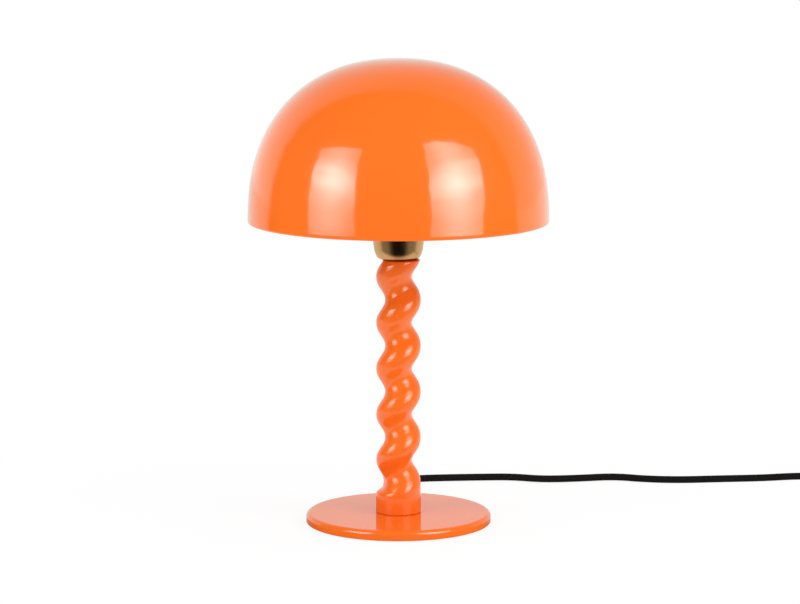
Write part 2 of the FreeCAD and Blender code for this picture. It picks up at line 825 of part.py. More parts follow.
def rocker():
    """The rocker about its pin at the origin, along Y: two slopes that meet over the pin, ends round it."""
    half = rocker_length / 2
    rise = rocker_pin_depth + rocker_rise
    ends = half / math.cos(math.radians(rocker_tilt))
    disc = Part.makeCylinder(ends, rocker_width, vec(0, -rocker_width / 2, 0), vec(0, 1, 0))
    slope = half * math.tan(math.radians(rocker_tilt))
    block = Part.Face(outline([
        (vec(-2 * half, 0, -rocker_skirt), 0.0), (vec(2 * half, 0, -rocker_skirt), 0.0),
        (vec(2 * half, 0, rise + slope), 0.0), (vec(0, 0, rise - slope), 0.0),
        (vec(-2 * half, 0, rise + slope), 0.0),
    ])).extrude(vec(0, rocker_width))
    block.translate(vec(0, -rocker_width / 2))
    return disc.common(block)


def rocker_pin(gap):
    reach = rocker_width / 2 + rocker_gap + rocker_pin_reach + gap
    return Part.makeCylinder(rocker_pin_diameter / 2 + gap, 2 * reach, vec(0, -reach, 0), vec(0, 1, 0))


def switch_parts():
    block = switch_block()
    pin_z = switch_height - rocker_pin_depth
    swing = rocker_length / 2 / math.cos(math.radians(rocker_tilt)) + rocker_gap
    room_width = rocker_width + 2 * rocker_gap
    room = Part.makeCylinder(swing, room_width, vec(0, -room_width / 2, pin_z), vec(0, 1, 0))
    hole = rocker_pin(rocker_pin_gap)
    hole.translate(UP * pin_z)
    body = block.cut(room).cut(hole)
    lower = Part.makeBox(switch_length, switch_width, switch_parting,
                         vec(-switch_length / 2, -switch_width / 2, 0))
    placed = vec(switch_start.x + switch_length / 2, switch_start.y, floor_gap)
    key = rocker().fuse(rocker_pin(0.0)).removeSplitter()
    key.rotate(vec(0, 0, 0), vec(0, 1, 0), -rocker_tilt)
    key.translate(UP * pin_z)
    pieces = {"switch_base": body.common(lower), "switch_cover": body.cut(lower), "switch_rocker": key}
    for name, piece in pieces.items():
        piece.translate(placed)
        nodes[name] = piece


# Plug

def plug_parts():
    """The plug lies flat beyond the coil, its pins away from the cord."""
    grip = plug_grip_width / 2
    plan = [
        (vec(0, plug_tail / 2), 0.0), (vec(plug_grip_place, grip), plug_grip_place / 2),
        (vec(plug_length - plug_front_length, plug_width / 2), plug_round),
        (vec(plug_length, plug_width / 2), plug_round),
    ]
    low = -plug_height / 2
    tail = plug_tail / 2
    side = [
        (vec(0, 0, -tail), 0.0), (vec(plug_grip_place, 0, low), plug_grip_place / 2),
        (vec(plug_length, 0, low), plug_round), (vec(plug_length, 0, -low), plug_round),
        (vec(plug_grip_place, 0, -low), plug_grip_place / 2), (vec(0, 0, tail), 0.0),
    ]
    pieces = {"plug_body": half_outlined_block(plan, side, plug_width)}
    sleeve = tapered_sleeve(plug_relief_length, plug_relief_root, plug_relief_tip, gland_ribs, gland_groove)
    pieces["plug_relief"] = along(sleeve, vec(0, 0, 0), vec(-1, 0, 0))
    pin = turned([
        (0, 0), (pin_sleeve_diameter / 2, 0), (pin_sleeve_diameter / 2, pin_sleeve_length),
        (pin_diameter / 2, pin_sleeve_length), (pin_diameter / 2, pin_length, pin_diameter / 4),
        (0, pin_length),
    ])
    for k, side_way in enumerate((-1, 1)):
        place = vec(plug_length, side_way * pin_spacing / 2)
        pieces["plug_pin_%d" % (k + 1)] = along(pin, place, vec(1, 0, 0))
    start = end_route[-1] - vec(0, plug_relief_length)
    for name, piece in pieces.items():
        piece.rotate(vec(0, 0, 0), UP, -90)
        piece.translate(start)
        nodes[name] = piece


def build():
    base_parts()
    stem_parts()
    holder_parts()
    shade_parts()
    bulb_parts()
    cord_parts()
    switch_parts()
    plug_parts()
    os.makedirs("parts", exist_ok=True)
    for name, shape in nodes.items():
        if not shape.isValid() or len(shape.Solids) != 1:
            raise ValueError("%s isn't one valid solid" % name)
        shape.Solids[0].exportStep("parts/%s.step" % name)


build()
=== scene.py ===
"""A glossy table lamp: spun dome, barley-twist stem, brass cup and a braided mains cord.

The packed solids are the fixed frame, in metres. Each operator dresses one piece, or one group of like
pieces, and the last one sets the floor, the soft lights and the camera.
"""

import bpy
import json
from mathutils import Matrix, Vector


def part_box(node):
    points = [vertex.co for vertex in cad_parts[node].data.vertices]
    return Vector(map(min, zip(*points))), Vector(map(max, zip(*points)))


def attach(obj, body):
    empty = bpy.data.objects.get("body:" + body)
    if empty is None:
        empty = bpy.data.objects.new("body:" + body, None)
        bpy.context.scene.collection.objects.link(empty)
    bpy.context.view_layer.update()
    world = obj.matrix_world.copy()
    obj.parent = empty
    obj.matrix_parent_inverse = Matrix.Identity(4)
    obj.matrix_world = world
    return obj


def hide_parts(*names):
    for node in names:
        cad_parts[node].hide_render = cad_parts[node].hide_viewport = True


bl_info = {
    "name": "Twisted table lamp",
    "version": (1, 0, 0),
    "blender": (4, 5, 0),
    "location": "3D View > Sidebar > Lamp",
    "description": "Dresses a packed table lamp: shade, stem, base, cup, bulb, cord and studio",
    "category": "Object",
}

import json
import math

import bmesh
import bpy
import numpy as np
from bpy.props import FloatProperty, FloatVectorProperty, IntProperty, PointerProperty

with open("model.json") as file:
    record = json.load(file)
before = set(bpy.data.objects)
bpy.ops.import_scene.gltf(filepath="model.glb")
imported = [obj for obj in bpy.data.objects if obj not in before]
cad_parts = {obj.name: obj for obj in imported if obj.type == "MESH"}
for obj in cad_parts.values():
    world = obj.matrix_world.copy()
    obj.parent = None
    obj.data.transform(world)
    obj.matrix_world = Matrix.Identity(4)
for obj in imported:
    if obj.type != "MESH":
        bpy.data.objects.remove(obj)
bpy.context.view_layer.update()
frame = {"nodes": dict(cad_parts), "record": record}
LAMP_BODY = "lamp"
ROCKER_BODY = "rocker"
MM = 0.001
FULL_TURN = 2 * math.pi
SHARP_EDGE = math.radians(40)
WHITE = (1.0, 1.0, 1.0, 1.0)


def low(node):
    """The lowest corner of a packed solid."""
    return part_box(node)[0]


def high(node):
    """The highest corner of a packed solid."""
    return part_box(node)[1]


def round_size(node):
    """The foot, the top and the radius of a packed solid that is turned about the lamp's axis."""
    return low(node).z, high(node).z, high(node).x


def nodes_called(*starts):
    """The packed solids whose names start so."""
    return [node for node in frame["nodes"] if node.startswith(starts)]


# Sizes, colours and stage settings that a user would change

def titled(group):
    """Names each property of a group after its field."""
    for field, deferred in group.__annotations__.items():
        deferred.keywords["name"] = field.replace("_", " ").capitalize()
    return group


def amount(default, description, subtype="NONE"):
    return FloatProperty(default=default, description=description, subtype=subtype)


def angle(degrees, description):
    return amount(math.radians(degrees), description, "ANGLE")


def length(metres, description):
    return FloatProperty(default=metres, description=description, unit="LENGTH", precision=4)


def small(millimetres, description):
    return length(millimetres * MM, description)


def colour(rgb, description):
    return FloatVectorProperty(
        default=(*rgb, 1.0), description=description, size=4, subtype="COLOR", min=0, max=1)


@titled
class LampSizes(bpy.types.PropertyGroup):
    """Sizes of the dressed pieces that the packed solids don't already give."""

    dome_radius_power: amount(2.22, "Exponent of the dome's law for its radius")
    dome_height_power: amount(2.34, "Exponent of the dome's law for its height")
    shade_wall: small(1.2, "Thickness of the spun sheet")
    hem_width: small(2.6, "Thickness of the folded rim")
    hem_height: small(5.0, "Height of the folded rim")
    spin_rings: small(0.010, "Height of the faint rings that spinning leaves")
    collar_radius: small(19.0, "Plain turned foot of the stem")
    collar_height: small(16.0, "Plain turned foot of the stem")
    collar_chamfer: small(0.8, "Bevel where the collar meets the base")
    collar_edge: small(0.25, "Twist's crest inside the collar's face")
    twist_pitch: small(39.05, "Rise of the strand in one turn")
    strand_depth: small(30.0, "Strand across its short way")
    strand_width: small(31.7, "Strand across its long way")
    strand_top_angle: angle(-42.0, "Where the strand stands at the stem's top")
    groove_end: small(1.2, "End of the groove above the collar")
    groove_runout: small(9.0, "Height in which the groove gains its depth")
    groove_flare: small(4.5, "Height in which the groove's wall flares to the collar")
    stem_bore: small(11.0, "Hole through the stem for the leads")
    stem_top_round: small(0.9, "Rounding of the stem's top edge")
    base_edge_round: small(3.6, "Rounding of the base plate's top edge")
    base_foot_round: small(1.0, "Rounding of the base plate's lower edge")
    pad_recess: small(1.0, "Depth of the recess for the felt pad")
    pad_gap: small(0.4, "Gap round the felt pad")
    pad_waver: small(0.08, "Waver of the felt pad's rim")
    cup_foot_radius: small(17.2, "Brass cup at its foot")
    cup_waist_radius: small(20.1, "Brass cup at its waist")
    cup_waist_height: small(6.2, "Waist above the foot")
    cup_foot_round: small(5.0, "Rounding below the waist")
    cup_waist_round: small(16.0, "Rounding at the waist")
    cup_wall: small(1.0, "Thickness of the brass sheet")
    cap_wall: small(0.6, "Sheet of the bulb's cap")
    cap_flare: small(5.0, "Height in which the bulb's cap widens to the glass")
    cap_thread_pitch: small(3.62, "Rolled thread of the bulb's cap")
    cap_thread_depth: small(1.0, "Rolled thread of the bulb's cap")
    skirt_wall: small(1.8, "Wall of the lampholder's skirt")
    skirt_bore: small(30.6, "Bore of the skirt at its lip")
    skirt_ledge: small(9.2, "Ledge on the ceramic insert above the skirt's foot")
    flange_low: small(11.0, "Underside of the skirt's flange above the skirt's foot")
    flange_top: small(13.5, "Top of the skirt's flange above the skirt's foot")
    skirt_thread_pitch: small(2.5, "Outer thread of the skirt")
    skirt_thread_depth: small(0.8, "Outer thread of the skirt")
    thread_gap: small(0.2, "Clearance of the skirt in its nut and of the nipple in the cup")
    nut_hole: small(39.4, "Hole of the ring nut")
    nut_diameter: small(56.0, "Outside of the ring nut")
    nut_ribs: IntProperty(default=40, min=3, description="Grip ribs round the ring nut")
    nut_rib_depth: small(0.8, "Grooves between the ribs")
    rocker_crest: small(5.1, "Middle of the rocker's top above its pin")
    rocker_lean: angle(10.0, "Lean of the rocker at rest, and slope of each half of its top")
    mark_place: small(3.07, "Switch marks from the middle of the rocker's top")
    mark_size: small(3.6, "Switch marks across")
    mark_line: small(0.5, "Line of the switch marks")
    mark_proud: small(0.08, "Switch marks above the rocker")
    switch_entry: small(5.5, "Middle of the cord above the switch's underside")
    pin_sleeve: small(10.0, "Sleeve on the root of each plug pin")
    cord_diameter: small(6.25, "Braided cord over its cover")
    cord_length: length(1.787, "From the gland to the plug's strain relief")
    floor_gap: small(0.05, "Clearance of what lies on the table")
    coil_radius: small(41.8, "Outermost turn of the put-away coil")
    coil_step: small(6.9, "From one turn of the coil to the next")
    coil_turns: amount(5.0, "Turns in the put-away coil")
    coil_climb_turns: amount(0.5, "Turns in which the coil climbs to its upper layer")
    strap_thickness: small(0.8, "Woven strap round the coil")
    strap_width: small(12.0, "Woven strap across its weave")
    strap_gap: small(0.3, "Strap's clearance from the coil")
    strap_overlap: small(13.0, "Length of the strap's closed end")
    strap_angle: angle(150.0, "Where the strap stands on the coil")
    lead_diameter: small(2.2, "Insulated lead inside the stem")


@titled
class LampFinishes(bpy.types.PropertyGroup):
    """Colours of the lamp's finishes, as they look in plain white light."""

    lacquer: colour((0.98, 0.175, 0.0155), "Glossy lacquer on the shade, stem and base")
    shade_inside: colour((0.98, 0.175, 0.0155), "Lacquer inside the shade")
    brass: colour((0.72, 0.42, 0.18), "Satin brass of the cup and contacts")
    black_plastic: colour((0.013, 0.013, 0.014), "Moulded lampholder, switch and plug")
    cord: colour((0.0050, 0.0044, 0.0038), "Braided cord")
    steel: colour((0.50, 0.51, 0.52), "Zinc-plated spider, screws and nuts")
    nickel: colour((0.62, 0.60, 0.56), "Plated bulb cap and plug pins")
    ceramic: colour((0.80, 0.78, 0.73), "Glazed insert of the lampholder")
    opal_glass: colour((0.86, 0.85, 0.82), "Frosted bulb")
    felt: colour((0.022, 0.021, 0.020), "Pad under the base")
    strap: colour((0.016, 0.016, 0.017), "Woven strap round the coil")
    live_lead: colour((0.16, 0.055, 0.022), "Brown insulation")
    neutral_lead: colour((0.035, 0.13, 0.42), "Blue insulation")
    switch_mark: colour((0.80, 0.80, 0.78), "Paint of the marks on the rocker")


@titled
class StageSettings(bpy.types.PropertyGroup):
    """Camera, floor and soft lights."""

    camera_aside: length(0.0013, "Camera to the right of the lamp's axis")
    camera_distance: length(2.614, "Camera in front of the lamp's axis")
    camera_height: length(0.5896, "Camera above the floor")
    camera_tilt: angle(8.734, "Camera below the horizon")
    camera_lens: amount(141.96, "Focal length in millimetres", "DISTANCE_CAMERA")
    floor_reach: length(6.0, "Half the side of the square floor")
    floor_drop: small(0.1, "Floor below what stands on it")
    floor_shadow: amount(0.16, "Share of shaded floor near the lamp", "FACTOR")
    floor_colour: colour((0.95, 0.95, 0.95), "Floor where the lamp shades it")
    bounce_colour: colour((0.9, 0.9, 0.9), "Floor as it lights the lamp from below")
    panel_distance: length(1.6, "Soft panels from the lamp's axis")
    eye_height: length(0.3, "Height on the lamp from which the panels are laid out")
    left_level: amount(2.6, "Radiance of the left panel")
    left_hot: angle(-51.5, "Left hot spot round from the camera's side")
    left_hot_level: amount(5.0, "Added radiance in the left hot spot")
    right_level: amount(3.6, "Radiance of the right panel")
    right_hot: angle(45.0, "Right hot spot round from the camera's side")
    right_hot_level: amount(5.0, "Added radiance in the right hot spot")
    hot_height: length(0.83, "Hot spots above the floor")
    hot_radius: length(0.35, "Spread of the hot spots up and down")
    panel_spread: length(0.42, "Spread of the panels' light to both sides")
    panel_edge: amount(0.36, "Share of the panels' light that is left at their sides")
    fold_count: amount(8.0, "Folds of the panels' cloth in a metre of height")
    fold_depth: amount(0.8, "Share of the panels' light that the folds change")
    back_level: amount(0.86, "Pale room straight behind the lamp, as gloss shows it")
    side_level: amount(0.36, "Pale room beside the lamp, as gloss shows it")
    floor_level: amount(0.87, "Pale floor behind the lamp, as gloss shows it")
    floor_dim: amount(0.25, "Floor beside the camera, as gloss shows it")
    front_level: amount(0.02, "Dim room round the camera, as gloss shows it")
    gloss_tint: colour((1.0, 0.98, 0.93), "Pale room and floor, as gloss shows them")
    ambient_level: amount(0.6, "Soft light of the room on matt surfaces")
    ambient_right: amount(0.45, "How much more of the soft light comes from the right")
    ambient_back: amount(-0.1, "How much more of the soft light comes from behind")
    ambient_top: amount(0.3, "How much more of the soft light comes from above")
    ambient_side: amount(0.75, "How much more of the soft light comes from both sides")
    fill_power: amount(9.6, "Power of each fill light", "POWER")
    fill_azimuth: angle(60.0, "Fill lights to each side of the camera")
    fill_tilt: angle(26.0, "Fill lights above the horizon")
    fill_distance: length(1.7, "Fill lights from the lamp")
    fill_size: length(0.9, "Side of each square fill light")


# Outlines of the soft panels: degrees round from the camera's side, and height in metres
LEFT_PANEL = ((-31.5, 0.10), (-69.0, 0.08), (-71.5, 0.99), (-74.0, 1.33), (-48.0, 1.69), (-35.0, 1.71))
RIGHT_PANEL = ((23.5, 0.10), (24.8, 2.07), (56.0, 1.81), (71.0, 1.39), (71.0, 1.10), (64.0, 0.08))

# What spinning leaves on the dome, rings and then waves. Each row has a share of the height, a length down
# the section in millimetres, a count round the axis, and the size and start of the drift in its phase. Their
# sum stays under the top, so that the marks only go in, and they fade out over a length above the rim.
SPIN_RINGS = ((1.0, 11, 1, 1.2, 0.6), (0.8, 17, 2, 2.0, 0.0))
SPIN_WAVES = ((1.3, 37, 43, 2.2, 0.0), (1.04, 51, 29, -2.6, 1.0))
SPIN_TOP = 4.2
SPIN_FADE = 6 * MM

# How the rim of the felt pad wavers: counts round the axis, each with its start
PAD_WAVES = ((17, 0.0), (29, 1.0), (43, 2.0))

# The joint line of the switch: half its width, from its floor to its lips, and its depth in grains
SEAM_EDGE = (0.1 * MM, 0.3 * MM)
SEAM_DEPTH = 8

# Half the width in which a pin's sleeve ends
SLEEVE_EDGE = 0.05 * MM

# Starts and ends of the stage's smooth steps, and its other fixed shares
ROOM_BACK = (0.24, 0.36)  # bearing at which the room turns pale
ROOM_TURN = 0.12  # how far the pale room is turned to the right
ROOM_OVERHEAD = 0.7  # what it loses straight above
ROOM_RIGHT = 0.3  # what it loses on the right
SHADOW_FADE = (0.16, 0.45)  # metres from the axis in which the kept shadow fades
FLOOR_FAR = (1.0, 1.7)  # metres from the axis in which the floor turns as pale as the room
FLOOR_FRONT = (-0.21, -0.13)  # metres behind the axis at which the floor turns bright
FLOOR_BEND = 0.3  # how that edge bends back, for each square metre of distance
FLOOR_BESIDE = (-0.9, -0.6)  # bearing at which the floor turns from dark to dim
FLOOR_UNDER = (0.06, 0.12)  # metres from a face in which the floor is dark to it
FLOOR_BEHIND = (-0.03, 0.03)  # metres behind the axis at which that darkness ends
FLOOR_BEHIND_SHARE = 0.7  # how far it ends there
SECOND_MIRROR = (1.2, 1.8)  # count of glossy bounces
SECOND_MIRROR_LOSS = 0.7  # what the second one loses


# Surfaces on a grid

def grid_mesh(name, points, rows_close, uv_length):
    """A closed mesh from a grid of points, rows by columns by x, y, z, shaded smooth below an angle.

    The columns always close round. The rows close round too, or end in poles, whose points all coincide
    and are merged. Faces that enclose a negative volume are turned round. The UV map holds the share round
    the columns, and the share along the rows times a length.
    """
    rows, columns = points.shape[:2]
    last_row = rows if rows_close else rows - 1
    row, column = np.meshgrid(np.arange(last_row), np.arange(columns), indexing="ij")
    corner_rows = np.stack([row, row, row + 1, row + 1], axis=-1).reshape(-1, 4)
    corner_columns = np.stack([column, column + 1, column + 1, column], axis=-1).reshape(-1, 4)
    faces = (corner_rows % rows) * columns + corner_columns % columns
    uv = np.stack([corner_columns / columns, corner_rows / last_row * uv_length], axis=-1)
    flat = points.reshape(-1, 3)
    a, b, c, d = (flat[faces[:, k]] for k in range(4))
    volume = np.einsum("ij,ij->", a, np.cross(b, c) + np.cross(c, d))
    if volume < 0:
        faces, uv = faces[:, ::-1], uv[:, ::-1]
    mesh = bpy.data.meshes.new(name)
    mesh.from_pydata(flat, [], faces, shade_flat=False)
    mesh.uv_layers.new(name="UVMap").data.foreach_set("uv", uv.astype(np.float32).ravel())
    merge_poles(mesh)
    mesh.set_sharp_from_angle(angle=SHARP_EDGE)
    return mesh


def merge_poles(mesh):
    """Merges points that coincide, which turns the four-cornered faces at a pole into triangles."""
    work = bmesh.new()
    work.from_mesh(mesh)
    bmesh.ops.remove_doubles(work, verts=work.verts, dist=1e-7)
    work.to_mesh(mesh)
    work.free()


def add_object(name, data):
    """A new object at the origin."""
    piece = bpy.data.objects.new(name, data)
    bpy.context.scene.collection.objects.link(piece)
    return piece


def add_piece(name, points, material, slot, *nodes, body=LAMP_BODY, rows_close=False, uv_length=1.0):
    """A piece on a grid, with its finish, its body, its slot in the record and the solids it stands for."""
    piece = add_object(name, grid_mesh(name, points, rows_close, uv_length))
    piece.data.materials.append(material)
    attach(piece, body)
    if nodes:
        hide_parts(*nodes)
    return piece


def refinish(material, *nodes):
    """Gives packed solids that keep their shape a better finish."""
    for node in nodes:
        for slot in frame["nodes"][node].material_slots:
            slot.material = material


def rounded_profile(corners, closed=False, step=math.radians(7), support=0.25 * MM):
    """A line through (radius, height, rounding) corners, each rounding an arc tangent to both its runs.

    An arc's centre lies on the line that halves its corner, and its ends are the rounding times the
    tangent of half the turn from the corner. A support point stands just past each end of an arc, so that
    the flat beside it shades flat.
    """
    places = np.array([corner[:2] for corner in corners], float)
    pieces = []
    for k, corner in enumerate(corners):
        rounding = corner[2] if len(corner) > 2 else 0.0
        place = places[k]
        if rounding == 0 or (not closed and k in (0, len(corners) - 1)):
            pieces.append(place[None])
            continue
        back = places[k - 1] - place
        ahead = places[(k + 1) % len(corners)] - place
        back_run, ahead_run = np.linalg.norm(back), np.linalg.norm(ahead)
        back, ahead = back / back_run, ahead / ahead_run
        half_turn = (math.pi - math.acos(np.clip(back @ ahead, -1, 1))) / 2
        reach = rounding * math.tan(half_turn)
        halving = (back + ahead) / np.linalg.norm(back + ahead)
        centre = place + halving * rounding / math.cos(half_turn)
        across = (ahead - back) / np.linalg.norm(ahead - back)
        count = max(3, math.ceil(2 * half_turn / step) + 1)
        t = np.linspace(-half_turn, half_turn, count)[:, None]
        arc = centre - halving * rounding * np.cos(t) + across * rounding * np.sin(t)
        before = place + back * min(reach + support, (reach + back_run) / 2)
        after = place + ahead * min(reach + support, (reach + ahead_run) / 2)
        pieces.append(np.vstack([before, arc, after]))
    return np.vstack(pieces)


def divided(profile, step):
    """A profile whose long runs are cut evenly, so that none is longer than the step."""
    run = np.diff(profile, axis=0)
    cuts = np.maximum(1, np.ceil(np.linalg.norm(run, axis=1) / step)).astype(int)
    which = np.repeat(np.arange(len(run)), cuts)
    share = (np.arange(len(which)) - np.repeat(np.cumsum(cuts) - cuts, cuts)) / cuts[which]
    return np.vstack([profile[which] + run[which] * share[:, None], profile[-1:]])


def run_along(line):
    """The length along a line at each of its points."""
    return np.concatenate([[0], np.cumsum(np.linalg.norm(np.diff(line, axis=0), axis=1))])


def unit_rows(vectors):
    return vectors / np.linalg.norm(vectors, axis=-1, keepdims=True)


def even_turn(columns):
    """Even angles once round."""
    return FULL_TURN * np.arange(columns) / columns


def smooth_share(value):
    """0 below 0, 1 above 1, and the smooth step three squares less two cubes between."""
    value = np.clip(value, 0, 1)
    return value * value * (3 - 2 * value)


def smooth_span(value, start, end, fade):
    """1 between two values, and a smooth step to 0 at both over a fade."""
    return smooth_share((value - start) / fade) * smooth_share((end - value) / fade)


def turned(profile, columns):
    """A surface of revolution: each profile point's radius times the cosine and sine of even angles."""
    turn = even_turn(columns)
    radius, height = profile[:, :1], profile[:, 1:]
    return np.stack(np.broadcast_arrays(radius * np.cos(turn), radius * np.sin(turn), height), axis=-1)


def ridged(surface, rise):
    """A turned surface moved along its own radius by a rise given for each of its points."""
    radius = np.linalg.norm(surface[..., :2], axis=-1, keepdims=True)
    out = surface[..., :2] / np.maximum(radius, 1e-9)
    return np.concatenate([surface[..., :2] + out * rise[..., None], surface[..., 2:]], axis=-1)


# Shader maths

def operator_method(operation, swapped=False):
    """A method for one of Python's operators, which adds a Math node."""
    def method(self, other):
        return self.maths(operation, other, self) if swapped else self.maths(operation, self, other)
    return method


class Signal:
    """A number that changes over a surface. An operator on it adds a Math node to its finish."""

    def __init__(self, finish, socket):
        self.finish = finish
        self.socket = socket

    def maths(self, operation, *values):
        return self.finish.node("ShaderNodeMath", dict(enumerate(values)), operation=operation)

    __add__ = __radd__ = operator_method("ADD")
    __sub__ = operator_method("SUBTRACT")
    __rsub__ = operator_method("SUBTRACT", swapped=True)
    __mul__ = __rmul__ = operator_method("MULTIPLY")
    __truediv__ = operator_method("DIVIDE")
    __or__ = operator_method("MAXIMUM")

    def __abs__(self):
        return self.maths("ABSOLUTE", self)

    def sine(self):
        return self.maths("SINE", self)

    def bell(self):
        """A bell curve: e to the power of minus its square."""
        return self.maths("POWER", math.e, self * self * -1.0)

    def step(self, start, end):
        """A smooth step from 0 at one value to 1 at another."""
        return self.finish.node(
            "ShaderNodeMapRange", {"Value": self, "From Min": start, "From Max": end}, "Result",
            interpolation_type="SMOOTHSTEP")


class Finish:
    """A material's or world's nodes, all made by one method."""

    def __init__(self, owner):
        owner.use_nodes = True
        self.owner = owner
        self.tree = owner.node_tree
        self.tree.nodes.clear()

    def node(self, kind, sockets=None, output=0, **settings):
        """Adds a node, sets its settings, then the values or links of its sockets; gives one output."""
        made = self.tree.nodes.new(kind)
        for name, value in settings.items():
            setattr(made, name, value)
        for name, value in (sockets or {}).items():
            if isinstance(value, Signal):
                self.tree.links.new(value.socket, made.inputs[name])
            else:
                made.inputs[name].default_value = value
        return Signal(self, made.outputs[output]) if made.outputs else None

    def coordinates(self, kind="Object"):
        return self.node("ShaderNodeTexCoord", output=kind)

    def part_of(self, vector, axis):
        return self.node("ShaderNodeSeparateXYZ", {"Vector": vector}, axis)

    def measure(self, operation, *vectors):
        return self.node("ShaderNodeVectorMath", dict(enumerate(vectors)), "Value", operation=operation)

    def path(self, output):
        return self.node("ShaderNodeLightPath", output=output)

    def mirrored(self):
        """1 where metal, gloss or glass shows what the ray meets."""
        return self.path("Is Glossy Ray") | self.path("Is Transmission Ray")

    def noise(self, scale, detail=2.0, stretch=None):
        """Noise with this many grains to the metre, stretched along the axes where a stretch is given."""
        place = self.coordinates()
        if stretch:
            place = self.node("ShaderNodeMapping", {"Vector": place, "Scale": stretch})
        return self.node("ShaderNodeTexNoise", {"Vector": place, "Scale": scale, "Detail": detail}, "Fac")

    def blend(self, share, first, second):
        return self.node("ShaderNodeMix", {0: share, 6: first, 7: second}, 2, data_type="RGBA")

    def tone(self, share, rgba, darker, lighter):
        """A colour times a factor that goes with a share from one to another."""
        return self.blend(share, shade_of(rgba, darker), shade_of(rgba, lighter))

    def bump(self, height, distance, strength):
        sockets = {"Height": height, "Distance": distance, "Strength": strength}
        return self.node("ShaderNodeBump", sockets, "Normal")

    def glow(self, strength, rgba=WHITE):
        return self.node("ShaderNodeEmission", {"Color": tuple(rgba), "Strength": strength}, "Emission")

    def matt(self, rgba):
        return self.node("ShaderNodeBsdfDiffuse", {"Color": tuple(rgba)}, "BSDF")

    def mixed(self, share, first, second):
        return self.node("ShaderNodeMixShader", {0: share, 1: first, 2: second})

    def skin(self, **sockets):
        """A Principled surface as the material's output; underscores in names stand for spaces."""
        named = {name.replace("_", " "): value for name, value in sockets.items()}
        return self.shown(self.node("ShaderNodeBsdfPrincipled", named, "BSDF"))

    def shown(self, shader):
        self.node("ShaderNodeOutputMaterial", {"Surface": shader})
        return self.owner


def new_finish(name):
    return Finish(bpy.data.materials.new(name))


def shade_of(rgba, factor):
    """A colour made lighter or darker."""
    return (*(min(1.0, part * factor) for part in rgba[:3]), 1.0)


def gloss_lacquer(name, rgba, coat=1.0):
    """Sprayed lacquer under a clear coat: slow drift in depth of colour and a faint orange peel."""
    finish = new_finish(name)
    drift = finish.noise(9.0, 2.0)
    peel = finish.noise(420.0, 1.0)
    return finish.skin(
        Base_Color=finish.tone(drift, rgba, 0.96, 1.03), Roughness=0.10 + drift * 0.06,
        Coat_Weight=coat, Coat_Roughness=0.035, Normal=finish.bump(peel, 0.02 * MM, 0.35))


def satin_brass(name, rgba):
    """Turned brass under thin lacquer: fine lines round the axis, a little tarnish in the colour."""
    finish = new_finish(name)
    lines = finish.noise(1.0, 3.0, (40.0, 40.0, 5200.0))
    tarnish = finish.noise(70.0, 3.0)
    return finish.skin(
        Base_Color=finish.tone(tarnish, rgba, 0.86, 1.08), Metallic=1.0,
        Roughness=0.17 + lines * 0.10 + tarnish * 0.05, Normal=finish.bump(lines, 0.006 * MM, 0.6))


def moulded_plastic(name, rgba, seam=None):
    """Moulded plastic: a fine spark-eroded grain, a trace of handling, and a joint at a seam's height."""
    finish = new_finish(name)
    relief = finish.noise(2400.0, 2.0)
    handling = finish.noise(55.0, 3.0)
    colours = finish.tone(handling, rgba, 0.8, 1.35)
    if seam is not None:
        joint = 1 - abs(finish.part_of(finish.coordinates(), "Z") - seam).step(*SEAM_EDGE)
        colours = finish.blend(joint, colours, shade_of(rgba, 0.1))
        relief = relief - joint * SEAM_DEPTH
    return finish.skin(
        Base_Color=colours, Roughness=0.34 + handling * 0.16,
        Normal=finish.bump(relief, 0.03 * MM, 0.5))


def plated_metal(name, rgba, roughness, spangle):
    """Plated metal: slight clouds in its colour and gloss."""
    finish = new_finish(name)
    clouds = finish.noise(spangle, 3.0)
    return finish.skin(
        Base_Color=finish.tone(clouds, rgba, 0.82, 1.12), Metallic=1.0, Roughness=roughness + clouds * 0.12,
        Normal=finish.bump(finish.noise(spangle * 9, 2.0), 0.01 * MM, 0.4))


def glazed_ceramic(name, rgba):
    """Glazed porcelain with a few darker specks."""
    finish = new_finish(name)
    specks = finish.noise(900.0, 1.0).step(0.70, 0.78)
    return finish.skin(
        Base_Color=finish.tone(specks, rgba, 1.0, 0.55), Roughness=0.22 + finish.noise(60.0) * 0.1,
        Coat_Weight=0.6, Coat_Roughness=0.05)


def frosted_glass(name, rgba):
    """Opal glass: milky, with a soft gloss."""
    finish = new_finish(name)
    milk = finish.noise(40.0, 2.0)
    return finish.skin(
        Base_Color=finish.tone(milk, rgba, 0.96, 1.03), Roughness=0.26 + milk * 0.08,
        Subsurface_Weight=0.25, Subsurface_Scale=0.004, Coat_Weight=0.35, Coat_Roughness=0.12)


def pressed_felt(name, rgba):
    """Felt: tangled fibres at two scales, no gloss."""
    finish = new_finish(name)
    fibres = finish.noise(1800.0, 4.0)
    tufts = finish.noise(260.0, 3.0)
    return finish.skin(
        Base_Color=finish.tone(fibres, rgba, 0.5, 2.0), Roughness=0.95,
        Sheen_Weight=0.3, Sheen_Roughness=0.6, Normal=finish.bump(fibres + tufts, 0.25 * MM, 0.8))


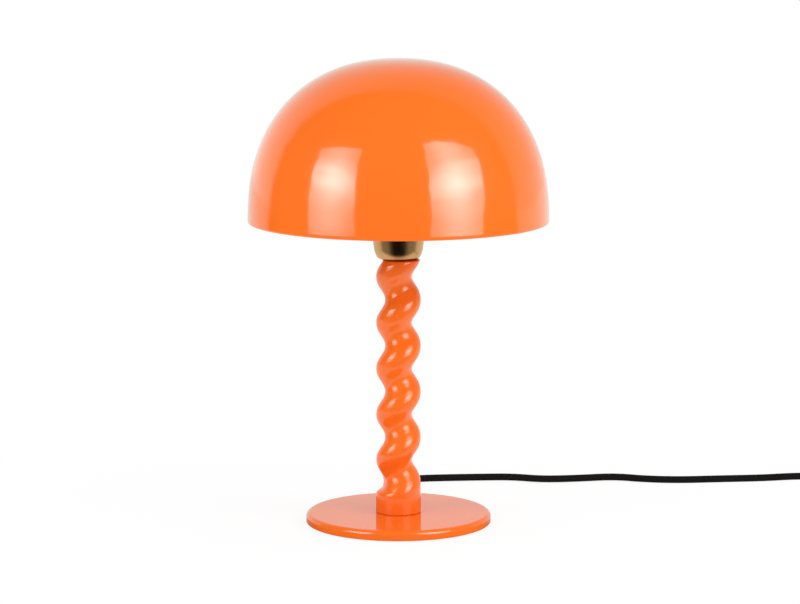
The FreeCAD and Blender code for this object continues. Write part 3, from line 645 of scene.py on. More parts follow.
def braided_cover(name, rgba, strands, lay):
    """A braid of two sets of strands that wind opposite ways and pass over and under each other.

    On the cord's UV map, the share round and the length along, each set is a sine wave along its slant.
    The set on top changes with the sign of the product of both waves at half the count.
    """
    finish = new_finish(name)
    place = finish.coordinates("UV")
    round_share = finish.part_of(place, "X") * (FULL_TURN * strands)
    along = finish.part_of(place, "Y") * (FULL_TURN / lay)
    one = (round_share + along).sine()
    other = (round_share - along).sine()
    over = (round_share.sine() * along.sine()).step(-0.15, 0.15)
    height = abs(one) * over + abs(other) * (1 - over)
    fuzz = finish.noise(5200.0, 2.0)
    # Painted shade and highlight: the colour follows the strands' height, darker in the braid's hollows and
    # lighter on its crowns, with random fuzz on top
    return finish.skin(
        Base_Color=finish.tone(height * 0.8 + fuzz * 0.3, rgba, 0.45, 1.9), Roughness=0.92 - height * 0.10,
        Specular_IOR_Level=0.1, Sheen_Weight=0.01, Sheen_Roughness=0.5,
        Normal=finish.bump(height + fuzz * 0.3, 0.22 * MM, 0.8))


def woven_tape(name, rgba, warps, wefts):
    """A plain weave on the strap's UV map: warp and weft waves, one over the other by turns."""
    finish = new_finish(name)
    place = finish.coordinates("UV")
    warp = (finish.part_of(place, "X") * (math.pi * warps)).sine()
    weft = (finish.part_of(place, "Y") * (math.pi * wefts)).sine()
    over = (warp * weft).step(-0.3, 0.3)
    height = abs(warp) * over + abs(weft) * (1 - over)
    fuzz = finish.noise(4200.0, 2.0)
    # Painted shade and highlight: the colour follows the weave's height, darker in its hollows and lighter
    # on its crowns, with random fuzz on top
    return finish.skin(
        Base_Color=finish.tone(height * 0.8 + fuzz * 0.25, rgba, 0.5, 1.8), Roughness=0.85,
        Sheen_Weight=0.15, Sheen_Roughness=0.5, Normal=finish.bump(height + fuzz * 0.3, 0.12 * MM, 0.8))


def sleeved_pin(name, metal, sleeve, sleeve_end):
    """A plated pin whose root, on the body's side of a level along the pin, is a black moulded sleeve."""
    finish = new_finish(name)
    beyond = finish.part_of(finish.coordinates(), "Y") - sleeve_end
    covered = beyond.step(-SLEEVE_EDGE, SLEEVE_EDGE)
    clouds = finish.noise(120.0, 3.0)
    return finish.skin(
        Base_Color=finish.blend(covered, finish.tone(clouds, metal, 0.85, 1.1), tuple(sleeve)),
        Metallic=1 - covered, Roughness=0.2 + clouds * 0.1 + covered * 0.2,
        Normal=finish.bump(finish.noise(2400.0), 0.01 * MM, 0.4))


# The lamp's own pieces

def dome_line(sizes, inset, end_height, count):
    """The dome's section from its crown down to a height above the rim, an inset inside its outer face.

    The radius is the sine, and the height the cosine, of one angle, each to two over its own power.
    """
    rim, crown, radius = round_size("shade")
    height = crown - rim - inset
    end = math.acos((end_height / height) ** (sizes.dome_height_power / 2))
    t = np.linspace(0, end, count)
    return np.column_stack([
        (radius - inset) * np.sin(t) ** (2 / sizes.dome_radius_power),
        rim + height * np.cos(t) ** (2 / sizes.dome_height_power)])


def dome_surface(sizes, columns=256):
    """The dome's outer face, a half round fold at the rim, the hem's inside and the inner face.

    The outer face carries the spinning's faint marks, moved in along the radius. A ring is a sine of the
    length down the section whose phase drifts round the axis, and a wave one of the angle whose phase drifts
    down the section. The marks fade to the rim and to the crown.
    """
    rim, _, radius = round_size("shade")
    fold = sizes.hem_width / 2
    outer = dome_line(sizes, 0.0, fold, 180)
    t = np.linspace(0, math.pi, 13)[1:-1]
    hem = np.column_stack([radius - fold + fold * np.cos(t), rim + fold - fold * np.sin(t)])
    lip = np.array([[radius - 2 * fold, rim + fold], [radius - 2 * fold, rim + sizes.hem_height]])
    wall = sizes.shade_wall
    inner = dome_line(sizes, wall, sizes.hem_height + sizes.hem_width - wall, 70)[::-1]
    profile = np.vstack([outer, hem, lip, inner])
    turn = even_turn(columns)
    down = run_along(profile)[:, None] * FULL_TURN / MM
    marks = sum(share * np.sin(down / run + drift * np.sin(count * turn + start))
                for share, run, count, drift, start in SPIN_RINGS)
    marks = marks + sum(share * np.sin(count * turn + drift * np.sin(down / run + start))
                        for share, run, count, drift, start in SPIN_WAVES)
    fade = smooth_share((profile[:, 1] - rim - fold) / SPIN_FADE)
    fade = fade * np.minimum(profile[:, 0] / (radius / 3), 1) ** 2
    fade[len(outer):] = 0
    return ridged(turned(profile, columns), sizes.spin_rings * (marks - SPIN_TOP) * fade[:, None])


def paint_inside(mesh, sizes):
    """Gives the second finish to the faces whose normal points to the axis or down, above the hem."""
    normal, centre = np.empty((2, len(mesh.polygons) * 3))
    mesh.polygons.foreach_get("normal", normal)
    mesh.polygons.foreach_get("center", centre)
    normal, centre = normal.reshape(-1, 3), centre.reshape(-1, 3)
    height = centre[:, 2] - low("shade").z
    facing = (normal[:, :2] * centre[:, :2]).sum(axis=1) + normal[:, 2] * np.maximum(height, 0)
    inside = (facing < 0) & (height > sizes.hem_width)
    mesh.polygons.foreach_set("material_index", inside.astype(np.int32))


def collar_and_strand(sizes):
    """The stem as rows of (height, round radius, 1 where it may twist, shrink), up outside, down its bore.

    The collar is a plain profile. Above it the round stock is a trace smaller, by a smooth step, and at the
    top a quarter circle shrinks the section before it turns in to the bore.
    """
    foot, top, _ = round_size("stem")
    bush_low, _, bush = round_size("stem_bush")
    collar, chamfer, soft = sizes.collar_radius, sizes.collar_chamfer, 2 * MM
    collar_top = foot + sizes.collar_height
    bore = sizes.stem_bore / 2
    crest = collar - sizes.collar_edge
    plain = [
        (foot, bore, 0, 0), (foot, collar - chamfer, 0, 0), (foot + chamfer, collar, 0, 0),
        (foot + 2 * chamfer, collar, 0, 0)]
    twist_z = np.linspace(collar_top - soft, top - sizes.stem_top_round, 280)
    stock = collar - sizes.collar_edge * smooth_share((twist_z - collar_top + soft) / (2 * soft))
    t = np.linspace(0, math.pi / 2, 7)[1:]
    round_z = top - sizes.stem_top_round * (1 - np.sin(t))
    shrink = sizes.stem_top_round * (1 - np.cos(t))
    return np.vstack([
        plain,
        np.column_stack([twist_z, stock, np.ones_like(twist_z), np.zeros_like(twist_z)]),
        np.column_stack([round_z, np.full_like(t, crest), np.ones_like(t), shrink]),
        [(top, bush, 0, 0), (bush_low, bush, 0, 0), (bush_low, bore, 0, 0)]])


def strand_surface(sizes, columns=144):
    """The stem's rows as points: round stock with one groove that winds up it.

    Cut to full depth, the section is an oval that stands off the axis along a direction that makes one turn
    in each pitch, its crest on the round stock. A point is the round stock's blended to the oval's by a
    share. The share is a smooth step of the height at which the groove passes that side of the stem, so the
    groove runs out along its own winding, times a smooth step of the height above the collar.
    """
    z, stock, twists, shrink = (part[:, None] for part in collar_and_strand(sizes).T)
    collar_top = low("stem").z + sizes.collar_height
    turn = sizes.strand_top_angle + FULL_TURN * (z - high("stem").z) / sizes.twist_pitch
    t = np.mod(even_turn(columns) - turn + math.pi, FULL_TURN) - math.pi
    groove_z = z + (t - np.copysign(math.pi, t)) * sizes.twist_pitch / FULL_TURN
    share = twists * smooth_share((z - collar_top) / sizes.groove_flare) * smooth_share(
        (groove_z - collar_top - sizes.groove_end) / sizes.groove_runout)
    offset = sizes.collar_radius - sizes.collar_edge - sizes.strand_depth / 2
    deep = offset + (sizes.strand_depth / 2 - shrink) * np.cos(t)
    wide = (sizes.strand_width / 2 - shrink) * np.sin(t)
    out = stock * np.cos(t) * (1 - share) + deep * share
    aside = stock * np.sin(t) * (1 - share) + wide * share
    x = np.cos(turn) * out - np.sin(turn) * aside
    y = np.sin(turn) * out + np.cos(turn) * aside
    return np.stack([x, y, np.broadcast_to(z, x.shape)], axis=-1)


def lead_surface(sizes, node):
    """A lead: a tube from the gland to the stem's axis, then up it to the lampholder."""
    x = (low(node).x + high(node).x) / 2
    z, top = low(node).z + sizes.lead_diameter / 2, high(node).z
    line = spline_line([
        (x, high(node).y, z), (x, 0.002, z), (x, 0, z + 0.004), (x, 0, z + 0.02), (x, 0, (z + top) / 2),
        (x, 0, top)])
    return tube_surface(line, sizes.lead_diameter, (1.0, 0.0, 0.0), columns=14)


def base_surface(sizes):
    """The base plate: recessed for its pad below, small foot rounding, wide edge rounding, flat top."""
    foot, top, radius = round_size("base_plate")
    recess = high("base_pad").x + sizes.pad_gap
    roof = foot + sizes.pad_recess
    return turned(rounded_profile([
        (0, roof), (recess, roof), (recess, foot), (radius, foot, sizes.base_foot_round),
        (radius, top, sizes.base_edge_round), (0, top)]), columns=256)


def pad_surface(sizes, columns=256):
    """The felt pad: a flat round with softened edges whose rim wavers by a few sines of the angle."""
    _, top, radius = round_size("base_pad")
    profile = rounded_profile([(0, 0), (radius, 0, top / 3), (radius, top, top / 3), (0, top)])
    turn = even_turn(columns)
    waver = sum(np.sin(count * turn + start) for count, start in PAD_WAVES) - len(PAD_WAVES)
    return ridged(turned(profile, columns), sizes.pad_waver * waver * (profile[:, :1] / radius) ** 8)


def cup_surface(sizes):
    """The brass cup: a foot that rounds out to the waist, then flares to the mouth, with an even wall."""
    foot_z, mouth_z, mouth = round_size("socket_cup")
    foot, waist, wall = sizes.cup_foot_radius, sizes.cup_waist_radius, sizes.cup_wall
    foot_round, waist_round, lip = sizes.cup_foot_round, sizes.cup_waist_round, 0.35 * wall
    hole = high("nipple").x + sizes.thread_gap
    waist_z = foot_z + sizes.cup_waist_height
    return turned(rounded_profile([
        (hole, foot_z), (foot, foot_z, foot_round), (waist, waist_z, waist_round), (mouth, mouth_z, lip),
        (mouth - wall, mouth_z, lip), (waist - wall, waist_z, waist_round - wall),
        (foot - wall, foot_z + wall, foot_round - wall), (hole, foot_z + wall)],
        closed=True, step=math.radians(3)), columns=192)


def threaded(profile, pitch, depth, start, end, wall=0.0, columns=96):
    """A turned profile with a round thread between two heights, on the points outside a wall's radius.

    Each point moves in by half the depth times one less the cosine of its height over the pitch less its
    angle, both in turns. The depth fades out over half a pitch at both ends.
    """
    z = profile[:, 1:]
    fade = smooth_span(z, start, end, pitch / 2) * (profile[:, :1] > wall)
    wave = np.cos(FULL_TURN * z / pitch - even_turn(columns)) - 1
    return ridged(turned(profile, columns), depth / 2 * fade * wave)


def bulb_cap_surface(sizes):
    """The bulb's cap: a thin shell with a rolled thread, closed below, that widens to hold the glass."""
    foot, top, flare = round_size("bulb_cap")
    cap, wall = high("bulb_insulator").x, sizes.cap_wall
    neck = top - sizes.cap_flare
    profile = divided(rounded_profile([
        (0, foot), (cap, foot, 0.5 * MM), (cap, neck), (flare, top - sizes.cap_flare / 2, 1 * MM),
        (flare, top), (flare - wall, top), (cap - wall, neck), (cap - wall, foot + wall), (0, foot + wall)]),
        step=0.35 * MM)
    return threaded(profile, sizes.cap_thread_pitch, sizes.cap_thread_depth, foot + 1 * MM, neck)


def skirt_surface(sizes):
    """The lampholder's skirt: a flange for the spider, an outer thread above it and a rounded lip."""
    foot, top, flange = round_size("holder_skirt")
    wall, bore = sizes.skirt_wall, sizes.skirt_bore / 2
    outer = sizes.nut_hole / 2 - sizes.thread_gap
    ledge, low_face, top_face = foot + sizes.skirt_ledge, foot + sizes.flange_low, foot + sizes.flange_top
    profile = divided(rounded_profile([
        (outer - wall, foot), (outer, foot, 0.3 * MM), (outer, low_face), (flange, low_face, 0.4 * MM),
        (flange, top_face, 0.4 * MM), (outer, top_face), (outer, top, wall / 2), (bore, top, wall / 2),
        (bore, ledge), (outer - wall, ledge)], closed=True), step=0.3 * MM)
    return threaded(
        profile, sizes.skirt_thread_pitch, sizes.skirt_thread_depth, top_face + 1 * MM, top - 1 * MM,
        outer - sizes.thread_gap / 2)


def ring_nut_surface(sizes):
    """The ring nut: a rounded ring whose outside is cut by even round grooves that fade at both edges."""
    foot, top, _ = round_size("ring_nut")
    hole, outer, columns = sizes.nut_hole / 2, sizes.nut_diameter / 2, sizes.nut_ribs * 8
    profile = divided(rounded_profile([
        (hole, foot), (outer, foot, 0.75 * MM), (outer, top, 1.5 * MM), (hole, top)], closed=True),
        step=0.6 * MM)
    fade = smooth_span(profile[:, 1:], foot, top, 2 * MM) * (profile[:, :1] > (hole + outer) / 2)
    wave = np.cos(sizes.nut_ribs * even_turn(columns)) - 1
    return ridged(turned(profile, columns), sizes.nut_rib_depth / 2 * fade * wave)


def rocker_mark(sizes, side, section, pull):
    """A turned section pulled out by a length along the rocker, lying on one half of the rocker's top.

    The half that is pressed at rest lies level, and the other slopes up by twice the rocker's lean.
    """
    pin_x, pin_y, pin_z = frame["record"]["behaviour"]["joints"][0]["pos_m"]
    lean, crest = sizes.rocker_lean, sizes.rocker_crest
    slope = 2 * lean if side > 0 else 0.0
    across, beside, up = np.moveaxis(turned(section, columns=48), -1, 0)
    along = across + np.where(across > 0, pull, -pull) / 2 + side * sizes.mark_place
    x = pin_x - crest * math.sin(lean) + along * math.cos(slope) - up * math.sin(slope)
    z = pin_z + crest * math.cos(lean) + along * math.sin(slope) + up * math.cos(slope)
    return np.stack([x, pin_y + beside, z], axis=-1)


# The cord, from the gland at the back of the stem to the plug

def middle_z(node):
    """The height half way up a packed solid."""
    return (low(node).z + high(node).z) / 2


def switch_line(sizes):
    """The switch's two ends on the cord's line: its end faces, at the height where the cord goes in."""
    start, end = low("switch_cover"), high("switch_cover")
    y = (start.y + end.y) / 2
    z = low("switch_base").z + sizes.switch_entry
    return (start.x, y, z), (end.x, y, z)


def lead_route(sizes):
    """Out of the gland, down to the table, round to the right and along it in slow waves to the switch."""
    exit_y, exit_z = high("cord_gland").y, middle_z("cord_gland")
    lying = sizes.cord_diameter / 2 + sizes.floor_gap
    x, y, z = switch_line(sizes)[0]
    return [
        (0, exit_y, exit_z), (0, 0.072, exit_z), (-0.004, 0.100, 0.0088), (-0.009, 0.121, lying),
        (-0.007, 0.1365, lying), (0.0024, 0.1513, lying), (0.0172, 0.1606, lying), (0.044, 0.1639, lying),
        (0.074, 0.1664, lying), (0.103, 0.1676, lying), (0.128, 0.1574, lying), (0.159, 0.1606, lying),
        (0.194, 0.1694, lying), (0.221, 0.158, lying), (0.252, 0.1544, lying), (0.288, 0.159, lying),
        (0.326, 0.1625, lying), (x - 0.018, y, z), (x, y, z),
    ]


def coil_low(sizes):
    """The middle of the coil's lower layer, which lies on the strap."""
    return sizes.floor_gap + sizes.strap_thickness + sizes.strap_gap + sizes.cord_diameter / 2


def tail_route(sizes):
    """From the switch round to the start of the coil."""
    x, y, z = switch_line(sizes)[1]
    lying = coil_low(sizes)
    return [
        (x, y, z), (x + 0.020, y, z), (0.491, 0.1484, lying), (0.5004, 0.1307, lying),
        (0.5024, 0.1108, lying), (0.5024, 0.093, lying),
    ]


def coil_centre(sizes):
    x, y, z = tail_route(sizes)[-1]
    return np.array([x - sizes.coil_radius, y - sizes.cord_diameter, z])


def coil_flat_turns(sizes):
    """The turns in each of the coil's two layers."""
    return (sizes.coil_turns - sizes.coil_climb_turns) / 2


def coil_route(sizes, per_turn=16):
    """Control points of the coil: in along the lower layer, up a layer, out along the upper one.

    The points stand half a step off the turns' own angles, and out by one over the cosine of half a step,
    so that the line between two of them touches the turn.
    """
    steps = int(sizes.coil_turns * per_turn)
    turn = (np.arange(steps) + 0.5) / per_turn
    flat, climb_turns = coil_flat_turns(sizes), sizes.coil_climb_turns
    climb = np.clip(turn - flat, 0, climb_turns)
    beyond = np.maximum(turn - flat - climb_turns, 0)
    share = climb / climb_turns
    radius = sizes.coil_radius - sizes.coil_step * (np.minimum(turn, flat) + climb * (1 - share) - beyond)
    radius = radius / math.cos(math.pi / per_turn)
    height = sizes.coil_step * smooth_share(share)
    around = -FULL_TURN * turn
    points = np.stack([radius * np.cos(around), radius * np.sin(around), height], axis=-1)
    return (coil_centre(sizes) + points).tolist()


def end_route(sizes):
    """Off the coil's upper layer and down to the plug's strain relief."""
    x, y, z = tail_route(sizes)[-1]
    y, z = y - 2 * sizes.cord_diameter, z + sizes.coil_step
    plug_z = middle_z("plug_body")
    return [(x, y, z), (x, y - 0.020, z), (x, y - 0.042, plug_z), (x, y - 0.062, plug_z)]


def spline_line(route, resolution=20):
    """The points along a smooth spline that has the route's points as its control points."""
    curve = bpy.data.curves.new("route", "CURVE")
    curve.dimensions = "3D"
    curve.resolution_u = resolution
    spline = curve.splines.new("NURBS")
    spline.points.add(len(route) - 1)
    spline.points.foreach_set("co", np.column_stack([route, np.ones(len(route))]).ravel())
    spline.order_u = 3
    spline.use_endpoint_u = True
    holder = bpy.data.objects.new("route", curve)
    mesh = bpy.data.meshes.new_from_object(holder)
    line = np.empty(len(mesh.vertices) * 3)
    mesh.vertices.foreach_get("co", line)
    bpy.data.objects.remove(holder)
    bpy.data.curves.remove(curve)
    bpy.data.meshes.remove(mesh)
    return line.reshape(-1, 3)


def tube_surface(line, diameter, across, columns=20):
    """A round tube whose ends each close in one pole.

    At each point of a line, the radius times the cosine goes along a side, and times the sine along the
    direction square to side and line. The side is square to the line and to a fixed direction.
    """
    heading = unit_rows(np.gradient(line, axis=0))
    side = unit_rows(np.cross(heading, across))
    up = np.cross(side, heading)
    turn = even_turn(columns)[None, :, None]
    rings = line[:, None] + diameter / 2 * (np.cos(turn) * side[:, None] + np.sin(turn) * up[:, None])
    start, end = (np.repeat(line[k][None, None], columns, axis=1) for k in (0, -1))
    return np.concatenate([start, rings, end])


def strap_surface(sizes):
    """The strap: a flat woven section carried round both layers of the coil, its end lapped over its start.

    The line is a rounded rectangle in the plane through the coil's axis. The lapped end stands off by the
    strap's thickness, which it gains by a smooth step before it meets the start.
    """
    thick, width = sizes.strap_thickness, sizes.strap_width
    smallest = sizes.coil_radius - sizes.coil_step * (coil_flat_turns(sizes) + sizes.coil_climb_turns / 4)
    half, off = sizes.cord_diameter / 2, sizes.strap_gap + thick / 2
    bend, edge, past, climb = half + off, 0.3 * MM, 1 * MM, 5 * MM
    inner = math.sqrt((smallest - half) ** 2 - width ** 2 / 4) - off
    outer = sizes.coil_radius + bend
    bottom = coil_low(sizes) - bend
    top = coil_low(sizes) + sizes.coil_step + bend
    loop = rounded_profile([
        (inner + bend + past, top), (outer, top, bend), (outer, bottom, bend), (inner, bottom, bend),
        (inner, top, bend), (inner + bend + past, top)], support=0.0)
    run = run_along(loop)
    along = np.linspace(0, run[-1] + sizes.strap_overlap, 150)
    lapped = np.where(along > run[-1], along - run[-1], along)
    place = np.stack([np.interp(lapped, run, loop[:, k]) for k in range(2)], axis=-1)
    heading = unit_rows(np.gradient(place, axis=0))
    heading = np.where((along > run[-1] - past)[:, None], np.array([1.0, 0.0]), heading)
    outward = np.stack([-heading[:, 1], heading[:, 0]], axis=-1)
    stand = thick * smooth_share((along - run[-1] + climb) / climb)
    place = place + outward * stand[:, None]
    corners = ((-1, -1), (1, -1), (1, 1), (-1, 1))
    section = rounded_profile([(a * width / 2, b * thick / 2, edge) for a, b in corners], closed=True)
    rows = place[:, None, :] + outward[:, None, :] * section[None, :, 1:]
    start, end = (np.repeat(place[k][None, None], len(section), axis=1) for k in (0, -1))
    rows = np.concatenate([start, rows, end])
    wide = np.concatenate([[0.0], np.ones(len(place)), [0.0]])[:, None] * section[None, :, 0]
    cosine, sine = math.cos(sizes.strap_angle), math.sin(sizes.strap_angle)
    centre_x, centre_y, _ = coil_centre(sizes)
    x = centre_x + rows[..., 0] * cosine - wide * sine
    y = centre_y + rows[..., 0] * sine + wide * cosine
    return np.stack([x, y, rows[..., 1]], axis=-1)


# Operators, one for each piece or group of like pieces

class LampOperator:
    """What the operators share: the sizes and finishes of the scene."""

    bl_options = {"REGISTER", "UNDO"}

    def execute(self, context):
        self.build(context.scene.lamp_sizes, context.scene.lamp_finishes)
        return {"FINISHED"}


class LAMP_OT_shade(LampOperator, bpy.types.Operator):
    """Spin the glossy dome, with its folded rim and lacquered inside"""

    bl_idname = "lamp.shade"
    bl_label = "Dome shade"

    def build(self, sizes, finishes):
        lacquer = gloss_lacquer("shade_lacquer", finishes.lacquer)
        piece = add_piece("dome_shade", dome_surface(sizes), lacquer, "lacquered_steel", "shade")
        piece.data.materials.append(gloss_lacquer("shade_inside_lacquer", finishes.shade_inside))
        paint_inside(piece.data, sizes)


class LAMP_OT_stem(LampOperator, bpy.types.Operator):
    """Turn the stem, a plain collar and a one-strand barley twist, and run its leads"""

    bl_idname = "lamp.stem"
    bl_label = "Twisted stem"

    def build(self, sizes, finishes):
        # Painted shade: the stem's lacquer is the shade's colour darkened by 0.95, for the lower light that
        # reaches it under the dome
        lacquer = gloss_lacquer("stem_lacquer", shade_of(finishes.lacquer, 0.95), coat=0.2)
        add_piece("twisted_stem", strand_surface(sizes), lacquer, "lacquered_wood", "stem", rows_close=True)
        live = moulded_plastic("live_lead_insulation", finishes.live_lead)
        add_piece("live_lead", lead_surface(sizes, "lead_live"), live, "brown_lead", "lead_live")
        neutral = moulded_plastic("neutral_lead_insulation", finishes.neutral_lead)
        add_piece("neutral_lead", lead_surface(sizes, "lead_neutral"), neutral, "blue_lead", "lead_neutral")


class LAMP_OT_base(LampOperator, bpy.types.Operator):
    """Make the base plate and the felt pad let into it, and finish its screws"""

    bl_idname = "lamp.base"
    bl_label = "Base plate and pad"

    def build(self, sizes, finishes):
        # Painted shade: the base's lacquer is the shade's colour darkened by 0.94, for the lower light near
        # the floor under the dome
        lacquer = gloss_lacquer("base_lacquer", shade_of(finishes.lacquer, 0.94), coat=0.5)
        add_piece("round_base", base_surface(sizes), lacquer, "lacquered_steel", "base_plate")
        felt = pressed_felt("base_felt", finishes.felt)
        add_piece("felt_pad", pad_surface(sizes), felt, "felt", "base_pad")
        zinc = plated_metal("zinc_screws", finishes.steel, roughness=0.30, spangle=160.0)
        refinish(zinc, *nodes_called("base_screw"))


class LAMP_OT_cup(LampOperator, bpy.types.Operator):
    """Turn the brass cup"""

    bl_idname = "lamp.cup"
    bl_label = "Brass cup"

    def build(self, sizes, finishes):
        brass = satin_brass("cup_brass", finishes.brass)
        add_piece("brass_cup", cup_surface(sizes), brass, "brass", "socket_cup", rows_close=True)


class LAMP_OT_lampholder(LampOperator, bpy.types.Operator):
    """Make the lampholder's skirt and ring nut, and finish its other solids and the spider"""

    bl_idname = "lamp.lampholder"
    bl_label = "Lampholder and spider"

    def build(self, sizes, finishes):
        zinc = plated_metal("zinc_fittings", finishes.steel, roughness=0.28, spangle=110.0)
        refinish(zinc, "stem_bush", "nipple", "cup_nut", *nodes_called("spider"))
        plastic = moulded_plastic("holder_plastic", finishes.black_plastic)
        refinish(plastic, "holder_cap")
        for name, surface, node in (
                ("holder_skirt_threaded", skirt_surface(sizes), "holder_skirt"),
                ("ribbed_ring_nut", ring_nut_surface(sizes), "ring_nut")):
            add_piece(name, surface, plastic, "black_plastic", node, rows_close=True)
        refinish(glazed_ceramic("insert_ceramic", finishes.ceramic), "holder_insert")
        refinish(satin_brass("contact_brass", finishes.brass), "screw_shell", "centre_contact")


class LAMP_OT_bulb(LampOperator, bpy.types.Operator):
    """Make the bulb's screw cap and finish the rest of the bulb"""

    bl_idname = "lamp.bulb"
    bl_label = "Bulb"

    def build(self, sizes, finishes):
        refinish(frosted_glass("opal_glass", finishes.opal_glass), "bulb_glass")
        nickel = plated_metal("cap_nickel", finishes.nickel, roughness=0.22, spangle=90.0)
        add_piece("screw_cap", bulb_cap_surface(sizes), nickel, "nickel", "bulb_cap")
        refinish(moulded_plastic("cap_insulator", finishes.black_plastic), "bulb_insulator")
        refinish(satin_brass("cap_contact", finishes.brass), "bulb_contact")


class LAMP_OT_cord(LampOperator, bpy.types.Operator):
    """Lay the braided cord from the gland to the plug, strap its coil, and finish and mark its switch"""

    bl_idname = "lamp.cord"
    bl_label = "Cord, switch and plug"

    def build(self, sizes, finishes):
        route = lead_route(sizes) + tail_route(sizes) + coil_route(sizes) + end_route(sizes)
        line = spline_line(route)
        cord = add_piece(
            "mains_cord", tube_surface(line, sizes.cord_diameter, (0.0, 0.0, 1.0)),
            braided_cover("cord_braid", finishes.cord, strands=12, lay=4.4 * MM), "braided_cord",
            "cord_lead", "cord_tail", "cord_coil", "cord_end", uv_length=run_along(line)[-1])
        weave = woven_tape("tie_weave", finishes.strap, warps=44, wefts=90)
        strap = add_piece("coil_tie", strap_surface(sizes), weave, "woven_strap", "coil_strap")
        black = finishes.black_plastic
        plastic = moulded_plastic("cord_plastic", black)
        refinish(plastic, "cord_gland", "switch_rocker", "plug_body", "plug_relief")
        joined = moulded_plastic("switch_plastic", black, high("switch_base").z)
        refinish(joined, "switch_base", "switch_cover")
        sleeve_end = low("plug_body").y - sizes.pin_sleeve
        pins = sleeved_pin("pin_nickel", finishes.nickel, black, sleeve_end)
        refinish(pins, "plug_pin_1", "plug_pin_2")
        along = [frame["nodes"][node] for node in nodes_called("switch", "plug")]
        along += [strap, *self.switch_marks(sizes, finishes)]

    def switch_marks(self, sizes, finishes):
        """A ring on the half of the rocker that is pressed at rest, and a bar on the other."""
        paint = moulded_plastic("mark_paint", finishes.switch_mark)
        half, line, rise = sizes.mark_size / 2, sizes.mark_line, sizes.mark_proud
        inner, edge = half - line, rise / 2
        ring = rounded_profile(
            [(inner, -rise), (half, -rise), (half, rise, edge), (inner, rise, edge)], closed=True)
        bar = rounded_profile([(0, -rise), (line / 2, -rise), (line / 2, rise, edge), (0, rise)])
        off, on = rocker_mark(sizes, -1, ring, 0.0), rocker_mark(sizes, 1, bar, sizes.mark_size - line)
        return (
            add_piece("off_mark", off, paint, "white_ceramic", body=ROCKER_BODY, rows_close=True),
            add_piece("on_mark", on, paint, "white_ceramic", body=ROCKER_BODY))


# Stage

def flat_piece(name, corners, material):
    """A flat surface of the stage with these corners."""
    mesh = bpy.data.meshes.new(name)
    mesh.from_pydata([tuple(corner) for corner in corners], [], [tuple(range(len(corners)))])
    mesh.materials.append(material)
    piece = add_object(name, mesh)
    return piece


def round_about(azimuth, height, middle, stage):
    """Points on an upright plane that faces the lamp at a middle azimuth.

    Each point is seen from the lamp at the azimuth and elevation that it would have on a cylinder of the
    panels' distance: both its reach and its height above the eye are divided by the cosine of its azimuth
    from the middle.
    """
    stretch = 1 / np.cos(azimuth - middle)
    reach = stage.panel_distance * stretch
    up = stage.eye_height + (height - stage.eye_height) * stretch
    return np.stack([reach * np.sin(azimuth), -reach * np.cos(azimuth), up], axis=-1)


def first_mirror(finish):
    """1 for what a glossy face shows straight away, less for what it shows by way of another one."""
    return 1 - finish.path("Glossy Depth").step(*SECOND_MIRROR) * SECOND_MIRROR_LOSS


def soft_panel(name, outline, level, hot_azimuth, hot_level, stage):
    """An upright bright cloth that faces the lamp, shows only in gloss and isn't seen by the camera.

    It fades to both sides of its hot spot by a bell curve, glows more by another about the hot spot's
    height, and has faint level folds.
    """
    azimuth, height = np.array(outline).T
    azimuth = np.radians(azimuth)
    middle = azimuth.mean()
    hot = round_about(hot_azimuth, stage.hot_height, middle, stage)
    side = (math.cos(middle), math.sin(middle), 0.0)
    finish = new_finish(name + "_cloth")
    place = finish.coordinates()
    across = (finish.measure("DOT_PRODUCT", place, side) - float(hot @ side)) / stage.panel_spread
    rise = (finish.part_of(place, "Z") - float(hot[2])) / stage.hot_radius
    folds = 1 + (finish.noise(1.0, 4.0, (0.5, 0.5, stage.fold_count)) - 0.5) * stage.fold_depth
    spread = stage.panel_edge + (1 - stage.panel_edge) * across.bell()
    bright = (level + hot_level * rise.bell()) * spread
    cloth = finish.shown(finish.glow(bright * folds * first_mirror(finish)))
    panel = flat_piece(name, round_about(azimuth, height, middle, stage), cloth)
    panel.visible_camera = panel.visible_diffuse = panel.visible_shadow = False


def fill_light(name, azimuth, stage):
    """A square soft light that faces the lamp from one side; gloss and the camera don't show it."""
    light = bpy.data.lights.new(name, "AREA")
    light.energy = stage.fill_power
    light.size = stage.fill_size
    piece = add_object(name, light)
    reach = stage.fill_distance * math.cos(stage.fill_tilt)
    up = stage.eye_height + stage.fill_distance * math.sin(stage.fill_tilt)
    piece.location = (reach * math.sin(azimuth), -reach * math.cos(azimuth), up)
    piece.rotation_euler = (math.pi / 2 - stage.fill_tilt, 0, azimuth)
    piece.visible_camera = piece.visible_glossy = piece.visible_transmission = False


def room_pale(bearing, stage):
    """How pale gloss shows the room, by its bearing: 0 beside the lamp, 1 straight behind it."""
    return bearing.step(*ROOM_BACK) * (stage.side_level + bearing * (stage.back_level - stage.side_level))


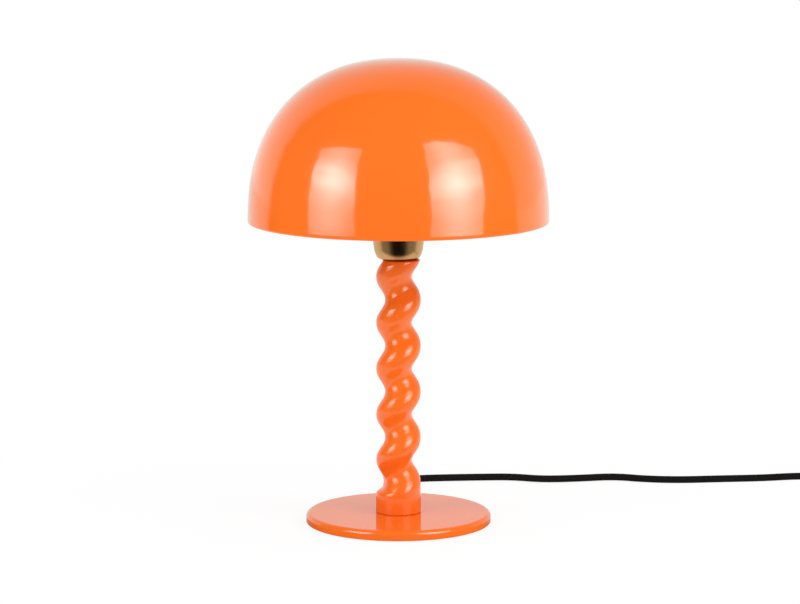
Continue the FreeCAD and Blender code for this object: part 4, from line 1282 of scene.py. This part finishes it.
def floor_finish(stage):
    """A white floor that keeps the lamp's shadow, and in gloss is as pale as the room behind the lamp."""
    finish = new_finish("pale_floor")
    place = finish.coordinates()
    near = finish.measure("LENGTH", place)
    across, along = finish.part_of(place, "X"), finish.part_of(place, "Y")
    shaded = (1 - near.step(*SHADOW_FADE)) * stage.floor_shadow
    lit = finish.mixed(shaded, finish.glow(1.0), finish.matt(stage.floor_colour))
    shown = finish.mixed(finish.path("Is Camera Ray"), finish.matt(stage.bounce_colour), lit)
    bright = (along - near * near * FLOOR_BEND).step(*FLOOR_FRONT)
    dim = (along / near).step(*FLOOR_BESIDE) * stage.floor_dim
    clear = finish.path("Ray Length").step(*FLOOR_UNDER) | along.step(*FLOOR_BEHIND) * FLOOR_BEHIND_SHARE
    close = (dim + bright * (stage.floor_level - dim)) * clear
    far_off = near.step(*FLOOR_FAR)
    gloss = close * (1 - far_off) + room_pale((along + across * ROOM_TURN) / near, stage) * far_off
    pale = finish.glow(gloss * first_mirror(finish), stage.gloss_tint)
    return finish.shown(finish.mixed(finish.mirrored(), shown, pale))


def room_world(stage):
    """White to the camera, soft to matt surfaces; in gloss pale behind the lamp, dim round the camera."""
    world = bpy.data.worlds.new("studio_room")
    finish = Finish(world)
    way = finish.coordinates("Generated")
    mirrored = finish.mirrored()
    across, along = finish.part_of(way, "X"), finish.part_of(way, "Y")
    overhead = finish.part_of(way, "Z") | 0.0
    evenness = 1 - overhead * ROOM_OVERHEAD - across * ROOM_RIGHT
    gloss = stage.front_level + room_pale(along + across * ROOM_TURN, stage) * evenness
    soft = stage.ambient_level * (
        1 + across * (stage.ambient_right + across * stage.ambient_side)
        + along * stage.ambient_back + overhead * stage.ambient_top)
    room = soft + mirrored * (gloss * first_mirror(finish) - soft)
    tint = finish.blend(mirrored, WHITE, tuple(stage.gloss_tint))
    strength = room | finish.path("Is Camera Ray")
    sky = finish.node("ShaderNodeBackground", {"Color": tint, "Strength": strength}, "Background")
    finish.node("ShaderNodeOutputWorld", {"Surface": sky})
    return world


class LAMP_OT_stage(bpy.types.Operator):
    """Set the floor, the room, the soft panels, the fill lights and the camera"""

    bl_idname = "lamp.stage"
    bl_label = "Studio"

    def execute(self, context):
        scene = context.scene
        stage = scene.lamp_stage
        reach = stage.floor_reach
        square = ((-reach, -reach), (reach, -reach), (reach, reach), (-reach, reach))
        corners = [(x, y, -stage.floor_drop) for x, y in square]
        flat_piece("floor", corners, floor_finish(stage))
        soft_panel("left_panel", LEFT_PANEL, stage.left_level, stage.left_hot, stage.left_hot_level, stage)
        soft_panel(
            "right_panel", RIGHT_PANEL, stage.right_level, stage.right_hot, stage.right_hot_level, stage)
        fill_light("left_fill", -stage.fill_azimuth, stage)
        fill_light("right_fill", stage.fill_azimuth, stage)
        scene.world = room_world(stage)
        scene.view_settings.view_transform = "Standard"
        camera = add_object("camera", bpy.data.cameras.new("camera"))
        camera.data.lens = stage.camera_lens
        camera.data.sensor_width = 36.0
        camera.location = (stage.camera_aside, -stage.camera_distance, stage.camera_height)
        camera.rotation_euler = (math.pi / 2 - stage.camera_tilt, 0, 0)
        scene.camera = camera
        return {"FINISHED"}


OPERATORS = (
    LAMP_OT_shade, LAMP_OT_stem, LAMP_OT_base, LAMP_OT_cup, LAMP_OT_lampholder, LAMP_OT_bulb, LAMP_OT_cord,
    LAMP_OT_stage,
)
SETTINGS = {"lamp_sizes": LampSizes, "lamp_finishes": LampFinishes, "lamp_stage": StageSettings}


class LAMP_PT_pieces(bpy.types.Panel):
    """The lamp's pieces and settings in the 3D view's sidebar"""

    bl_label = "Table lamp"
    bl_space_type = "VIEW_3D"
    bl_region_type = "UI"
    bl_category = "Lamp"

    def draw(self, context):
        for operator in OPERATORS:
            self.layout.operator(operator.bl_idname)
        for name, group in SETTINGS.items():
            column = self.layout.column(heading=group.__doc__)
            for field in group.__annotations__:
                column.prop(getattr(context.scene, name), field)


def register():
    for kind in (*SETTINGS.values(), *OPERATORS, LAMP_PT_pieces):
        bpy.utils.register_class(kind)
    for name, group in SETTINGS.items():
        setattr(bpy.types.Scene, name, PointerProperty(type=group))


def unregister():
    for name in SETTINGS:
        delattr(bpy.types.Scene, name)
    for kind in (LAMP_PT_pieces, *reversed(OPERATORS), *SETTINGS.values()):
        bpy.utils.unregister_class(kind)


def main():
    register()
    bpy.ops.lamp.shade()
    bpy.ops.lamp.stem()
    bpy.ops.lamp.base()
    bpy.ops.lamp.cup()
    bpy.ops.lamp.lampholder()
    bpy.ops.lamp.bulb()
    bpy.ops.lamp.cord()
    bpy.ops.lamp.stage()


if __name__ == "__main__":
    main()
